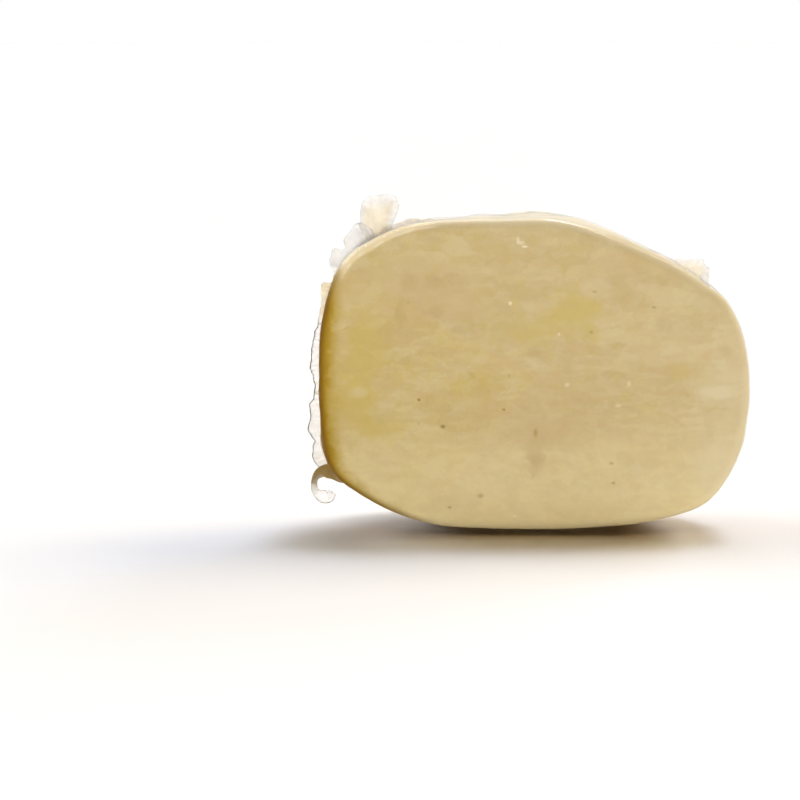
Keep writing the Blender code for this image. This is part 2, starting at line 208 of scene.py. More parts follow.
# %% Set up the light
SEEN_WHITE, MIRRORED_WHITE = (1, 1, 1, 1), (0.72, 0.72, 0.7, 1)
HIGH_LIGHT, LOW_LIGHT, LOW_END = (0.03, 0.02, 0.01, 1), (0.14, 0.08, 0.02, 1), 0.42
SUNS = {  # power in red, green and blue, then in degrees: spread, height, and way round from the back
    "roof_window": ((0.72, 0.83, 1.15), 16, 70, 40),
    "back_window": ((0.9, 0.94, 1.02), 36, 60, 10),
    "right_window": ((1.85, 1.65, 1.2), 36, 35, 60),
    "left_window": ((1.4, 1.54, 1.7), 40, 30, -68),
    "low_back_window": ((0.58, 0.72, 1.0), 16, 25, 30),
    "front_window": ((0.29, 0.17, 0.08), 24, 40, 200),
    "facing_wall": ((1.2, 1.28, 1.13), 3, 1.6, 180),
}
SEEN_IN_GLOSS = ("roof_window", "back_window", "left_window")
STRIP_SIZE, STRIP_POWER = (2.2, 0.08), 9.0
STRIP_PLACE = Vector((0.0, 0.15, 1.3))

world = bpy.data.worlds.new("white_room")
bpy.context.scene.world = world
world.use_nodes = True
world.node_tree.nodes.clear()
wire = Wire(world.node_tree)
sky = wire.node("ShaderNodeTexCoord", output="Generated")
height = wire.node("ShaderNodeSeparateXYZ", {0: sky}, "Z")
ray = wire.node("ShaderNodeLightPath", output="Is Camera Ray")
glow = height.fade(0.0, LOW_END).mix(LOW_LIGHT, HIGH_LIGHT)
glow = ray.other("Is Glossy Ray").mix(glow, MIRRORED_WHITE)
room = wire.node("ShaderNodeBackground", {"Color": ray.mix(glow, SEEN_WHITE)})
wire.node("ShaderNodeOutputWorld", {"Surface": room})
bpy.context.scene.view_settings.view_transform = "Standard"

for name, (power, *degrees) in SUNS.items():
    sun = link(bpy.data.objects.new(name, bpy.data.lights.new(name, "SUN")))
    spread, rise, bearing = (math.radians(angle) for angle in degrees)
    sun.data.energy, sun.data.angle = max(power), spread
    sun.data.color = [part / max(power) for part in power]
    towards = Vector((math.cos(rise) * math.sin(bearing), math.cos(rise) * math.cos(bearing), math.sin(rise)))
    sun.rotation_euler = towards.to_track_quat("Z", "Y").to_euler()
    sun.visible_glossy = name in SEEN_IN_GLOSS

strip = link(bpy.data.objects.new("strip_light", bpy.data.lights.new("strip_light", "AREA")))
strip.data.shape = "RECTANGLE"
strip.data.size, strip.data.size_y = STRIP_SIZE
strip.data.energy = STRIP_POWER
strip.visible_diffuse = False
strip.location = STRIP_PLACE
strip.rotation_euler = (-STRIP_PLACE).to_track_quat("-Z", "Y").to_euler()

print("lights:", [light.name for light in bpy.data.lights])

# %% [markdown]
# ## The floor
# The floor is a disc of matt paper, a little warm, so that what little light lies in the shadow looks warm
# too. It needs no pattern, only a finish that doesn't mirror the object. It lies a hair below the film's
# flat underside, so that the two don't share a plane.

# %% Lay the floor
FLOOR_RADIUS, FLOOR_DROP, FLOOR_SIDES = 6.0, 0.3 * MM, 96
FLOOR_WHITE = (0.88, 0.845, 0.78, 1)

disc = bmesh.new()
bmesh.ops.create_circle(disc, cap_ends=True, segments=FLOOR_SIDES, radius=FLOOR_RADIUS)
floor_mesh = bpy.data.meshes.new("floor")
disc.to_mesh(floor_mesh)
disc.free()
floor = link(bpy.data.objects.new("floor", floor_mesh))
floor.location.z = -FLOOR_DROP
paper, wire = new_finish("white_paper")
wire.node("ShaderNodeBsdfDiffuse", {"Color": FLOOR_WHITE}).as_surface()
floor_mesh.materials.append(paper)
print("the floor reaches", FLOOR_RADIUS, "m out, in", paper.name)

# %% [markdown]
# ## The form of the half wheel
# The half stands on the flat side of the wheel, and sagged while it was young, so its cut isn't a plain
# oval. Its outline is a smooth curve through measured points. Seen from above, the half is a soft half
# circle, and its top and bottom stay full until near the back. Each point of the skin is then given by
# three numbers: a direction round the cut's middle, a way inwards, and a share of the depth.

# %% The cut's outline
HALF_WIDTH, DEPTH, MID_HEIGHT = 70 * MM, 70 * MM, 49 * MM
CUT_OUTLINE_MM = (  # width and height
    (-70, 44), (-69, 66.5), (-63, 84.6), (-52.6, 93.6), (-36, 99.6), (-6, 100.6), (8, 100.2), (22.7, 96),
    (43, 87.2), (54.5, 80.2), (63.9, 72.2), (69.2, 57), (70.3, 40), (67.1, 22.2), (57.2, 7.6), (40, 1.6),
    (22, -0.3), (3, -0.9), (-16, -0.8), (-33, 0.5), (-49.2, 6), (-64.3, 16.2), (-69, 28),
)
OUTLINE_STEPS = 16


def spline(knots, steps, closed=False):
    """Points of a Catmull-Rom curve through the knots, as rows."""
    knots = np.asarray(knots, float)
    if closed:
        padded = np.vstack((knots[-1], knots, knots[:2]))
    else:
        padded = np.vstack((2 * knots[0] - knots[1], knots, 2 * knots[-1] - knots[-2]))
    share = np.linspace(0, 1, steps, endpoint=False)[:, None]
    rows = []
    for before, start, end, after in zip(padded, padded[1:], padded[2:], padded[3:]):
        rows.append(
            start
            + 0.5 * share * (end - before)
            + share**2 * (before - 2.5 * start + 2 * end - 0.5 * after)
            + 0.5 * share**3 * (3 * (start - end) + after - before)
        )
    return np.vstack(rows if closed else [*rows, knots[-1:]])


across, up = (spline(CUT_OUTLINE_MM, OUTLINE_STEPS, closed=True) * MM).T
outline_angle = np.arctan2(up - MID_HEIGHT, across)
order = np.argsort(outline_angle)
OUTLINE = outline_angle[order], np.hypot(across, up - MID_HEIGHT)[order]
print("the cut is", round(np.ptp(across) / MM, 1), "mm wide and", round(up.max() / MM, 1), "mm high")

# %% The half's surface, from its outline, its plan and its side view
CUT_EDGE_RADIUS = 4 * MM
PLAN_POWER, TOP_POWER, BOTTOM_POWER = 2.4, 3.6, 5.0
TOP_RISE_MM = (  # direction in degrees, and how far the top rises there behind the cut
    (30, 0), (45, -0.6), (70, -0.4), (90, 0.2), (104, -1), (116, -2.6), (130, -2.6), (150, -0.6), (170, 0),
)
RISE_END = 0.9
HALF_ARC = math.pi / 4 * CUT_EDGE_RADIUS
UNDERSIDE_SINK, SINK_FULL, SINK_POWER = 4.6 * MM, 0.5, 2
PLAN_STEPS = 400


def outline_reach(direction):
    return np.interp(direction, *OUTLINE, period=2 * math.pi)


def narrowing(depth_share, power):
    """How much of a section's width or height is left at a share of the depth."""
    return np.maximum(1 - depth_share**power, 0) ** (1 / power)


def section_point(direction, inset, depth_share):
    """Width and height of the skin in a direction, brought in by inset, at a share of the depth."""
    reach = np.maximum(outline_reach(direction) - inset, 0)
    side, up = np.cos(direction), np.sin(direction)
    shrink = np.where(up > 0, narrowing(depth_share, TOP_POWER), narrowing(depth_share, BOTTOM_POWER))
    rise = np.interp(np.degrees(direction), *np.array(TOP_RISE_MM).T) * MM
    rise = rise * np.sin(math.pi * np.minimum(depth_share / RISE_END, 1))
    sunk = UNDERSIDE_SINK * np.minimum(depth_share / SINK_FULL, 1) * np.maximum(-up, 0) ** SINK_POWER
    return side * reach * narrowing(depth_share, PLAN_POWER), MID_HEIGHT + up * reach * shrink + rise - sunk


plan_share = np.sin(np.linspace(0, math.pi / 2, PLAN_STEPS))
plan_legs = np.hypot(np.diff(narrowing(plan_share, PLAN_POWER) * HALF_WIDTH), np.diff(plan_share * DEPTH))
plan_way = np.concatenate(([0], np.cumsum(plan_legs)))


def surface_point(direction, ring):
    """The skin by ring: 0 at the cut's middle, 1 on the cut's edge, 2 at the middle of the back."""
    reach = outline_reach(direction)
    flat = reach - CUT_EDGE_RADIUS
    on_face = ring <= 1
    rind_way = (ring - 1) * (plan_way[-1] + HALF_ARC - CUT_EDGE_RADIUS)
    way = np.where(on_face, ring * (flat + HALF_ARC), rind_way)
    turn = np.where(on_face, (way - flat) / CUT_EDGE_RADIUS, math.pi / 4 + way / CUT_EDGE_RADIUS)
    turn = np.clip(turn, 0, math.pi / 2)
    along_face = np.where(on_face, np.minimum(way, flat), flat) + CUT_EDGE_RADIUS * np.sin(turn)
    past_edge = np.maximum(way - HALF_ARC, 0)
    rind_depth = np.interp(past_edge + CUT_EDGE_RADIUS, plan_way, plan_share) * DEPTH
    depth = np.where(on_face | (past_edge == 0), CUT_EDGE_RADIUS * (1 - np.cos(turn)), rind_depth)
    across, height = section_point(direction, reach - along_face, np.minimum(depth / DEPTH, 1))
    return np.stack((across, depth, height), axis=-1)


print("the rind runs", round(plan_way[-1] / MM), "mm from the cut to the back")

# %% [markdown]
# ## A fine, even mesh
# A ball of rings would pinch its cells at two poles, and the pinch shows in the gloss. A box of square
# cells, blown up on to the form, has no poles: its front becomes the cut, its four sides the first part of
# the rind, and its back the rest. The cheese and the film are both drawn on this grid.

# %% Blow a box of cells up to the half
COLUMNS, ROWS, RINGS = 188, 128, 74
FACE_GRADE, RIND_GRADE = 1.4, 1.2  # how much the cells crowd towards the cut's edge


def box_grid(columns, rings, rows):
    """The surface of a box of unit cells: its points as (column, ring, row), and its faces."""
    skin = np.zeros((columns + 1, rings + 1, rows + 1), bool)
    skin[[0, -1]] = skin[:, [0, -1]] = skin[:, :, [0, -1]] = True
    number = np.full(skin.shape, -1)
    number[skin] = np.arange(skin.sum())
    faces = []
    for axis in range(3):
        for end in (0, -1):
            side = np.take(number, end, axis=axis)
            corners = (side[:-1, :-1], side[1:, :-1], side[1:, 1:], side[:-1, 1:])
            faces.append(np.stack(corners, axis=-1).reshape(-1, 4))
    return np.argwhere(skin).astype(float), np.concatenate(faces)


def keep_on_mesh(mesh, kept):
    """Keeps numbers or vectors on the points of the mesh, under their names."""
    for name, values in kept.items():
        values = np.asarray(values, np.float32)
        kind, field = ("FLOAT", "value") if values.ndim == 1 else ("FLOAT_VECTOR", "vector")
        mesh.attributes.new(name, kind, "POINT").data.foreach_set(field, values.ravel())


def new_piece(name, points, faces, **kept):
    """A smooth mesh object with outward faces, in the frame's place, with named values on its points."""
    mesh = bpy.data.meshes.new(name)
    mesh.from_pydata((points + PLACE).tolist(), [], faces.tolist())
    turned = bmesh.new()
    turned.from_mesh(mesh)
    bmesh.ops.recalc_face_normals(turned, faces=turned.faces)
    turned.to_mesh(mesh)
    turned.free()
    keep_on_mesh(mesh, kept)
    mesh.shade_smooth()
    return link(bpy.data.objects.new(name, mesh))


cells, skin_faces = box_grid(COLUMNS, RINGS, ROWS)
column, row = 2 * cells[:, 0] / COLUMNS - 1, 2 * cells[:, 2] / ROWS - 1
square = np.maximum(np.abs(column), np.abs(row))
skin_angle = np.arctan2(row * MID_HEIGHT, column * HALF_WIDTH)
side_end = 1 + RINGS / (RINGS + COLUMNS / 2)
ring = np.select(
    (cells[:, 1] == 0, cells[:, 1] == RINGS),
    (1 - (1 - square) ** FACE_GRADE, 2 - (2 - side_end) * square),
    1 + (side_end - 1) * (cells[:, 1] / RINGS) ** RIND_GRADE,
)
skin_points = surface_point(skin_angle, ring)
smooth_half = new_piece("smooth_half", skin_points, skin_faces)
skin_normals = np.empty(skin_points.size, np.float32)
smooth_half.data.vertices.foreach_get("normal", skin_normals)
skin_normals = skin_normals.reshape(-1, 3)
bpy.data.objects.remove(smooth_half)
print(len(skin_points), "points and", 2 * len(skin_faces), "triangles in the skin")

# %% [markdown]
# ## The relief of the rind
# The sack and the pit's damp left the rind lumpy and pocked, with folds that run round it low down. The
# relief is a sum of noises of several sizes, each pushed along the surface's normal. The big ones are the
# frame's own. Pebbles and fine grooves are added here, because only a fine mesh can carry them.

# %% Lumps, dents, pocks, folds, pebbles and grooves
NOISE_STEP = (7.3, 3.1, 5.7)
LUMP_SIZE, LUMP_DEPTH = 30 * MM, 2.0 * MM
DENT_SIZE, DENT_DEPTH = 12 * MM, 1.7 * MM
POCK_SIZE, POCK_DEPTH, POCK_TOP = 6.5 * MM, 0.9 * MM, 0.1
FOLD_HEIGHTS_MM = (21, 33, 71)
FOLD_WIDTH, FOLD_DEPTH, FOLD_WANDER = 3.2 * MM, 1.7 * MM, 3.0 * MM
FACE_WAVE_SIZE, FACE_WAVE_DEPTH = 38 * MM, 0.45 * MM
RELIEF_START, RELIEF_FULL = 2 * MM, 11 * MM
PRESSED_HEIGHT, PRESSED_SHARE = 12 * MM, 0.3
PEBBLE_SIZE, PEBBLE_DEPTH, PEBBLE_EDGE = 4.4 * MM, 0.6 * MM, 0.45
GROOVE_SIZE, GROOVE_DEPTH, GROOVE_TOP = 3.6 * MM, 0.45 * MM, 52 * MM
FOLD_STRETCH, GROOVE_STRETCH = (1, 1, 0.2), (0.22, 0.22, 1)  # less of an axis draws the noise out along it
CALM_HEIGHT, CALM_DEPTH, CALM_FADE, CALM_SHARE = 76 * MM, 34 * MM, 12 * MM, 0.7


def noise_at(points, size, seed):
    shift = seed * Vector(NOISE_STEP)
    values = [noise.noise(Vector(p) + shift) for p in (points / size).reshape(-1, 3).tolist()]
    return np.array(values).reshape(points.shape[:-1])


def pebbles_at(points, size):
    """1 on the crown of each pebble and 0 in the cracks between them."""
    gaps = []
    for point in (points / size).tolist():
        first, second = noise.voronoi(Vector(point))[0][:2]
        gaps.append(second - first)
    return np.clip(np.array(gaps) / PEBBLE_EDGE, 0, 1)


def patches(size, seed, middle, contrast):
    """1 in some patches of the skin and 0 in others, with soft edges."""
    return np.clip(middle + contrast * noise_at(skin_points, size, seed), 0, 1)


lumps = LUMP_DEPTH * noise_at(skin_points, LUMP_SIZE, 1)
dents = DENT_DEPTH * noise_at(skin_points, DENT_SIZE, 2)
pocks = POCK_DEPTH * np.minimum(noise_at(skin_points, POCK_SIZE, 3), POCK_TOP)
wander = FOLD_WANDER * noise_at(skin_points * FOLD_STRETCH, LUMP_SIZE, 4)
fold_fade = patches(1.5 * LUMP_SIZE, 5, 0.5, 1.2)
above_fold = skin_points[:, 2:] + wander[:, None] - np.array(FOLD_HEIGHTS_MM) * MM
folds = -FOLD_DEPTH * fold_fade * np.exp(-((above_fold / FOLD_WIDTH) ** 2)).sum(axis=1)
face_wave = FACE_WAVE_DEPTH * noise_at(skin_points, FACE_WAVE_SIZE, 6)

bend = skin_points + 0.25 * PEBBLE_SIZE * noise_at(skin_points, PEBBLE_SIZE, 9)[:, None]
pebble_patches = patches(LUMP_SIZE, 10, 0.55, 1.3)
pebbles = PEBBLE_DEPTH * pebble_patches * (pebbles_at(bend, PEBBLE_SIZE) - 1)
low_down = np.clip((GROOVE_TOP - skin_points[:, 2]) / GROOVE_TOP, 0, 1) ** 0.5
grooves = GROOVE_DEPTH * low_down * noise_at(skin_points * GROOVE_STRETCH, GROOVE_SIZE, 11)
near_top = np.clip((skin_points[:, 2] - CALM_HEIGHT) / CALM_FADE, 0, 1)
near_top = near_top * np.clip((CALM_DEPTH - skin_points[:, 1]) / CALM_FADE, 0, 1)
dents, pocks, pebbles = (part * (1 - CALM_SHARE * near_top) for part in (dents, pocks, pebbles))
print("deepest pock", round(-pocks.min() / MM, 2), "mm, deepest fold", round(-folds.min() / MM, 2), "mm")

# %% [markdown]
# ## The cheese
# The cheese takes all of the relief. Its cut is nearly flat, with only a slow wave that the wire left. How
# deep each point lies in its hollows is kept as a value on the mesh, because damp and mould stain the
# hollows of a rind darker, and the finish reads that value later.

# %% Make the cheese
BAG_ROOM = 0.25 * MM  # how far the film stands off the cheese
HOLLOW_FULL = 2.2 * MM
# direction in degrees, and how strong the painted amber shade on the rim is there
RIM_SHADE_BY_DIRECTION = ((148, 0), (154, 0.5), (162, 1), (200, 1), (214, 0.7), (226, 0.45), (238, 0))

on_rind = np.clip((skin_points[:, 1] - RELIEF_START) / (RELIEF_FULL - RELIEF_START), 0, 1)
pressed = np.clip((skin_points[:, 2] + FRONT_LIFT) / PRESSED_HEIGHT, PRESSED_SHARE, 1)
rind_push = lumps + dents + pocks + folds + pebbles + grooves
cheese_push = on_rind * pressed * rind_push + (1 - on_rind) * face_wave - BAG_ROOM
hollow = np.clip(-(dents + pocks + folds + pebbles + grooves) / HOLLOW_FULL, 0, 1) * on_rind
inset = np.maximum(outline_reach(skin_angle) - np.hypot(skin_points[:, 0], skin_points[:, 2] - MID_HEIGHT), 0)
inset = np.where(skin_points[:, 1] < CUT_EDGE_RADIUS, inset, 0)
# how strong the painted amber shade of the left rim is, by direction
left_rim_shade = np.interp(np.degrees(skin_angle) % 360, *np.array(RIM_SHADE_BY_DIRECTION).T)

cheese_points = skin_points + skin_normals * cheese_push[:, None]
cheese_points[:, 2] = np.maximum(cheese_points[:, 2], BAG_ROOM - FRONT_LIFT)
kept = {"inset_mm": inset / MM, "left_rim_shade": left_rim_shade, "hollow": hollow}
cheese = new_piece("cheese_half", cheese_points, skin_faces, **kept)
print("the cheese spans", [round(v / MM, 1) for v in cheese.dimensions], "mm")

# %% [markdown]
# ## The finish of the cheese
# The cut shows a dense, crumbly paste of pressed curds: cream, clouded with straw yellow where the fat has
# sweated, with faint level streaks, a few pits and a few white grains. Some of its colour is painted light:
# the paste grows lighter towards the bottom, its rims are painted pale, a painted highlight band with glints
# runs along its upper left edge, and one painted glint sits near the top. On the left its rim is painted dark
# amber, as painted shade. The rind is beige, with amber-brown hollows, and darker and browner low down,
# partly as painted shade. All of it is noise and soft spots on Object coordinates, which stay put when the
# view turns, and the rims follow the outline through the values kept on the mesh. Each mask lays its own
# colour over those before it.

# %% The marks on the cut, as (x, height, half width, half height, strength) in mm
YELLOW_PATCHES = (
    (14, 71, 12, 5.5, 0.6), (2, 65, 15, 5, 0.5), (-54.5, 58, 7, 15, 0.5), (-58.5, 40, 8, 10, 0.55),
    (-48, 33, 9, 5, 0.4), (-20, 47, 10, 5, 0.25), (19, 64, 4, 3, 0.4), (47, 49.5, 3.5, 3.5, 0.35),
)
PINK_PATCHES = (
    (-33, 76, 20, 13, 0.5), (-60, 80, 8, 7, 0.5), (1, 22.5, 3.2, 4.5, 0.8), (6, 31, 13, 6, 0.35),
    (-2, 36, 26, 10, 0.3), (30, 84, 14, 6, 0.5),
)
PALE_PATCHES = (
    (58.5, 44.2, 7.6, 2.6, 0.7), (56, 38.8, 8, 0.9, -0.5), (33, 18.4, 1.8, 2.4, 0.5), (20, 79, 5, 3.5, 0.3),
    (-57, 44, 3.4, 2, 0.4), (62, 40, 10, 30, 0.35), (58.5, 16, 9, 10, 0.4), (54, 73, 4.5, 3, 0.3),
    (46, 60, 8, 8, 0.2),
)
SMUDGES = (
    (-40.7, 80.5, 3.2, 3.8, 0.35), (-32, 80.2, 3.8, 2.4, 0.35), (-31.4, 70.2, 3.2, 2.2, 0.35),
    (-43.3, 69.4, 2.2, 4.2, 0.3), (26.2, 80.5, 3.8, 2.4, 0.3), (41.4, 66.3, 3.4, 2.6, 0.3),
    (61.8, 57.5, 2.6, 2.2, 0.3), (0.3, 57.2, 2.8, 1.8, 0.35), (-24, 64, 5, 1.6, 0.3),
    (-30, 56.5, 6, 1.2, 0.25), (-19.9, 49.8, 1.2, 1, 0.4),
)
PITS = (
    (-37.2, 41.7, 0.65, 0.55, 0.9), (-29.4, 33, 1, 0.75, 0.85), (-9.7, 38.5, 0.6, 0.5, 0.7),
    (0.6, 31, 0.8, 1.6, 0.45), (-17.1, 10.3, 1.1, 0.9, 0.4), (-27.2, 6.5, 0.8, 0.5, 0.5),
    (25.2, 21, 0.9, 0.6, 0.4), (25.9, 14.5, 0.8, 0.6, 0.45), (18.4, 63.7, 0.7, 0.6, 0.5),
    (38.5, 71.8, 0.8, 0.5, 0.5), (19.4, 76.8, 0.9, 0.5, 0.4), (-8, 49.5, 0.5, 0.4, 0.4),
)
# the three spots near the top edge, at heights of 91 to 94 mm, are a painted glint; the rest are white grains
GRAINS_AND_GLINT = (
    (-7.8, 73.1, 0.7, 0.7, 0.8), (-5.4, 93.6, 0.6, 1.3, 0.45), (-4.4, 92.6, 1.5, 0.8, 0.5),
    (-3.2, 91.4, 1.2, 0.45, 0.75), (10.7, 46.6, 1, 0.8, 0.4), (30.7, 46.9, 0.7, 1.1, 0.35),
    (27.2, 39.8, 1.2, 0.7, 0.35), (-6.1, 3.6, 0.8, 0.6, 0.4), (8, 63, 0.5, 0.6, 0.5),
)
print("marks on the cut:", len(PINK_PATCHES + YELLOW_PATCHES + PALE_PATCHES + SMUDGES + PITS + GRAINS_AND_GLINT))

# %% Spots, ragged edges, curds and layers, and the colours of the cheese
SPOT_EDGE = 1.3, 0.3  # where a spot starts to show and where it is full, in its own half sizes
CURD_SQUASH = 0.45  # a curd's height over its width


def soft_spots(place, spots):
    """One mask of soft ovals on the cut, where place is in metres from the cut's middle."""
    mask = None
    for x, height, half_width, half_height, strength in spots:
        offset = place.vector("SUBTRACT", (x * MM, 0, height * MM))
        offset = offset.vector("DIVIDE", (half_width * MM, 1, half_height * MM))
        spot = strength * offset.vector("LENGTH", output=1).fade(*SPOT_EDGE)
        mask = spot if mask is None else mask + spot
    return mask


def warped(place, size, reach):
    """The place, shifted by up to half the reach by noise of that size, so that soft edges turn ragged."""
    shift = place.node("ShaderNodeTexNoise", {"Vector": place, "Scale": 1 / size, "Detail": 3}, "Color")
    return place.vector("ADD", shift.vector("SUBTRACT", (0.5, 0.5, 0.5)).scaled(reach))


def curds(place, height, seed):
    """A number from 0 to 1 for each pressed curd of about that height."""
    level = place.vector("MULTIPLY", (CURD_SQUASH, 0, 1)).vector("ADD", (seed, 0, seed))
    sockets = {"Vector": level, "Scale": 1 / height}
    return level.node("ShaderNodeTexVoronoi", sockets, "Color").fade(0.15, 0.85)


def in_mm(place):
    """The width, depth and height of a place, in mm."""
    width = place.node("ShaderNodeSeparateXYZ", {0: place.scaled(1 / MM)}, "X")
    return width, width.other("Y"), width.other("Z")


def layered(colour, layers):
    """The colour with the others laid over it in turn, each by its share."""
    for share, above in layers:
        colour = share.mix(colour, above)
    return colour


CREAM, STRAW, PINKISH = srgb(212, 192, 143), srgb(207, 184, 100), srgb(207, 180, 133)
PALE, SMUDGE, PIT = srgb(224, 209, 174), srgb(188, 162, 110), srgb(160, 128, 70)
# painted light: a lighter cream for low on the face, and a pale cream for the rims
PAINTED_LOW_LIGHT, PAINTED_RIM_LIGHT = srgb(242, 225, 178), srgb(232, 216, 178)
# painted light: the grains' white also paints a glint, and the next two are a highlight band and its glints
GRAIN_AND_GLINT_WHITE, PAINTED_SHOULDER_LIGHT, PAINTED_GLINT = srgb(246, 236, 208), srgb(252, 231, 188), srgb(255, 245, 222)
# painted shade: the gold, amber and dark amber of the shaded left rim
RIM_GOLD_SHADE, RIM_AMBER_SHADE, RIM_DARK_SHADE = srgb(186, 156, 64), srgb(154, 117, 0), srgb(124, 86, 0)
RIND_BEIGE, RIND_STRAW, RIND_BROWN = srgb(212, 190, 144), srgb(198, 169, 108), srgb(152, 112, 52)
RIND_TOP = srgb(238, 224, 192)
print("the paste's cream in linear light:", [round(v, 3) for v in CREAM])

# %% Masks of clouds, streaks, specks and curds
ROUGH_SIZE, CLOUD_SIZE, FLECK_SIZE = 2.5 * MM, 7 * MM, 5 * MM
STREAK_HEIGHT, STREAK_SQUASH = 2.4 * MM, 0.13
SPECK_SPACING, SPECK_PATCH = 4.5 * MM, 11 * MM
BIG_CURD, SMALL_CURD = 5.5 * MM, 2.2 * MM

finish, wire = new_finish("cheese_paste_and_rind")
place = wire.node("ShaderNodeTexCoord", output="Object")
place = place.vector("SUBTRACT", tuple(PLACE))
sideways, depth, upwards = in_mm(place)
# the second of these is how strong the painted amber shade of the left rim is
inset_mm, left_rim, hollows = (wire.on_mesh(name) for name in ("inset_mm", "left_rim_shade", "hollow"))

crisp_place = place.vector("MULTIPLY", (1, 0, 1))
rough_place = warped(crisp_place, ROUGH_SIZE, 3 * MM)
cloudy_place = warped(rough_place, 10 * MM, 12 * MM)
streaky_place = warped(crisp_place, 6 * MM, 5 * MM).vector("MULTIPLY", (STREAK_SQUASH, 1, 1))

clouds = cloudy_place.grain(CLOUD_SIZE, 5, 0.62).fade(0.42, 0.6)
blush = cloudy_place.vector("ADD", (0.3, 0.1, 0.2)).grain(FLECK_SIZE, 5, 0.62).fade(0.45, 0.6)
flecks = rough_place.vector("ADD", (0.1, 0.3, 0.7)).grain(FLECK_SIZE, 3, 0.6).fade(0.42, 0.62)
streaks = streaky_place.grain(STREAK_HEIGHT, 4).fade(0.46, 0.64)
specks = {"Vector": rough_place, "Scale": 1 / SPECK_SPACING}
specks = wire.node("ShaderNodeTexVoronoi", specks, "Distance").fade(0.13, 0.05)
specks = specks * rough_place.grain(SPECK_PATCH, 2).fade(0.48, 0.6)
big_curds, small_curds = curds(rough_place, BIG_CURD, 0.31), curds(rough_place, SMALL_CURD, 0.17)
print(len(finish.node_tree.nodes), "nodes in the masks")

# %% The colours of the paste, laid over one another
left_side, right_side = sideways.fade(20, -72), sideways.fade(15, 72)
# painted light: the paste grows lighter towards the bottom, where the shadowed floor gives it less light
painted_fill_share = 0.5 * upwards.fade(42, 4)
mid_height = upwards.fade(24, 36) * upwards.fade(68, 56)
layers = (
    (0.25 * clouds + 0.25 * left_side, STRAW),
    (0.25 * right_side, PALE),
    (painted_fill_share, PAINTED_LOW_LIGHT),
    (0.4 * blush, PINKISH),
    (0.2 * flecks, PALE),
    (0.16 * big_curds.fade(0.55, 0.85), PALE),
    (0.14 * big_curds.fade(0.4, 0.1), SMUDGE),
    (0.12 * small_curds.fade(0.7, 0.9), PALE),
    (0.12 * small_curds.fade(0.3, 0.1), SMUDGE),
    ((0.25 + 0.3 * mid_height) * streaks, PINKISH),
    (painted_fill_share, PAINTED_LOW_LIGHT),
    (soft_spots(cloudy_place, PINK_PATCHES), PINKISH),
    (soft_spots(cloudy_place, YELLOW_PATCHES), STRAW),
    (soft_spots(rough_place, PALE_PATCHES), PALE),
    (soft_spots(rough_place, SMUDGES), SMUDGE),
    ((0.25 + 0.5 * left_side) * specks, SMUDGE),
    # white grains, and a painted glint near the top edge
    (soft_spots(crisp_place, GRAINS_AND_GLINT), GRAIN_AND_GLINT_WHITE),
    (soft_spots(crisp_place, PITS), PIT),
)
paste = layered(CREAM, layers)
print(len(layers), "layers over the cream")

# %% The rims of the cut: painted light all round, a painted highlight band with glints at the upper left, and painted amber shade on the left
on_left = left_rim.fade(0.0, 0.2)
rim_mm = inset_mm + 8 * (1 - left_rim) + 1.2 * (clouds - 0.5) * inset_mm.fade(0.5, 4.0)
# painted highlight: a pale band along the upper left edge, with bright glints in it, where the rounded edge
# catches the light
shoulder = sideways.fade(-28, -40) * upwards.fade(80, 86)
ragged_mm = inset_mm + 2.0 * (rough_place.grain(8 * MM, 2) - 0.5)
painted_shine = inset_mm.fade(1.5, 2.0) * ragged_mm.fade(1.9, 2.3) * ragged_mm.fade(2.9, 2.5)
painted_shine = painted_shine * rough_place.grain(4 * MM, 2).fade(0.42, 0.52)
layers = (
    # painted light: the rims are made paler all round, except on the left
    (0.7 * (1 - left_rim) * inset_mm.fade(4.5, 0.5), PAINTED_RIM_LIGHT),
    # painted highlight: the band and its glints at the upper left
    (0.85 * shoulder * ragged_mm.fade(3.6, 2.0), PAINTED_SHOULDER_LIGHT),
    (0.9 * shoulder * painted_shine, PAINTED_GLINT),
    # painted shade: the left rim turns gold, then amber towards its edge
    (on_left * rim_mm.fade(8.4, 2.2), RIM_GOLD_SHADE),
    (on_left * rim_mm.fade(4.2, 0.5), RIM_AMBER_SHADE),
)
paste = layered(paste, layers)
print(len(layers), "layers on the rims")

# %% The rind, and the finish as a whole
rind_patches = place.grain(30 * MM, 3, 0.6).fade(0.42, 0.7)
rind_speckle = place.grain(2.4 * MM, 3, 0.6).fade(0.5, 0.8)
ragged_depth = depth + 16 * (place.grain(9 * MM, 3) - 0.5)
layers = (
    (0.7 * rind_patches, RIND_STRAW),
    (hollows * (0.55 + 0.9 * rind_patches), RIND_BROWN),
    (0.25 * rind_speckle, PALE),
    (0.9 * upwards.fade(66, 84) * depth.fade(46, 34), RIND_TOP),
    # darker and browner low down: partly the rind's own damp colour, partly painted shade under the half
    (0.85 * upwards.fade(24, 10), RIND_BROWN),
    # painted shade: the left rim's gold runs a little way on to the rind
    (0.8 * left_rim * ragged_depth.fade(20, 3), RIM_GOLD_SHADE),
)
rind = layered(RIND_BEIGE, layers)
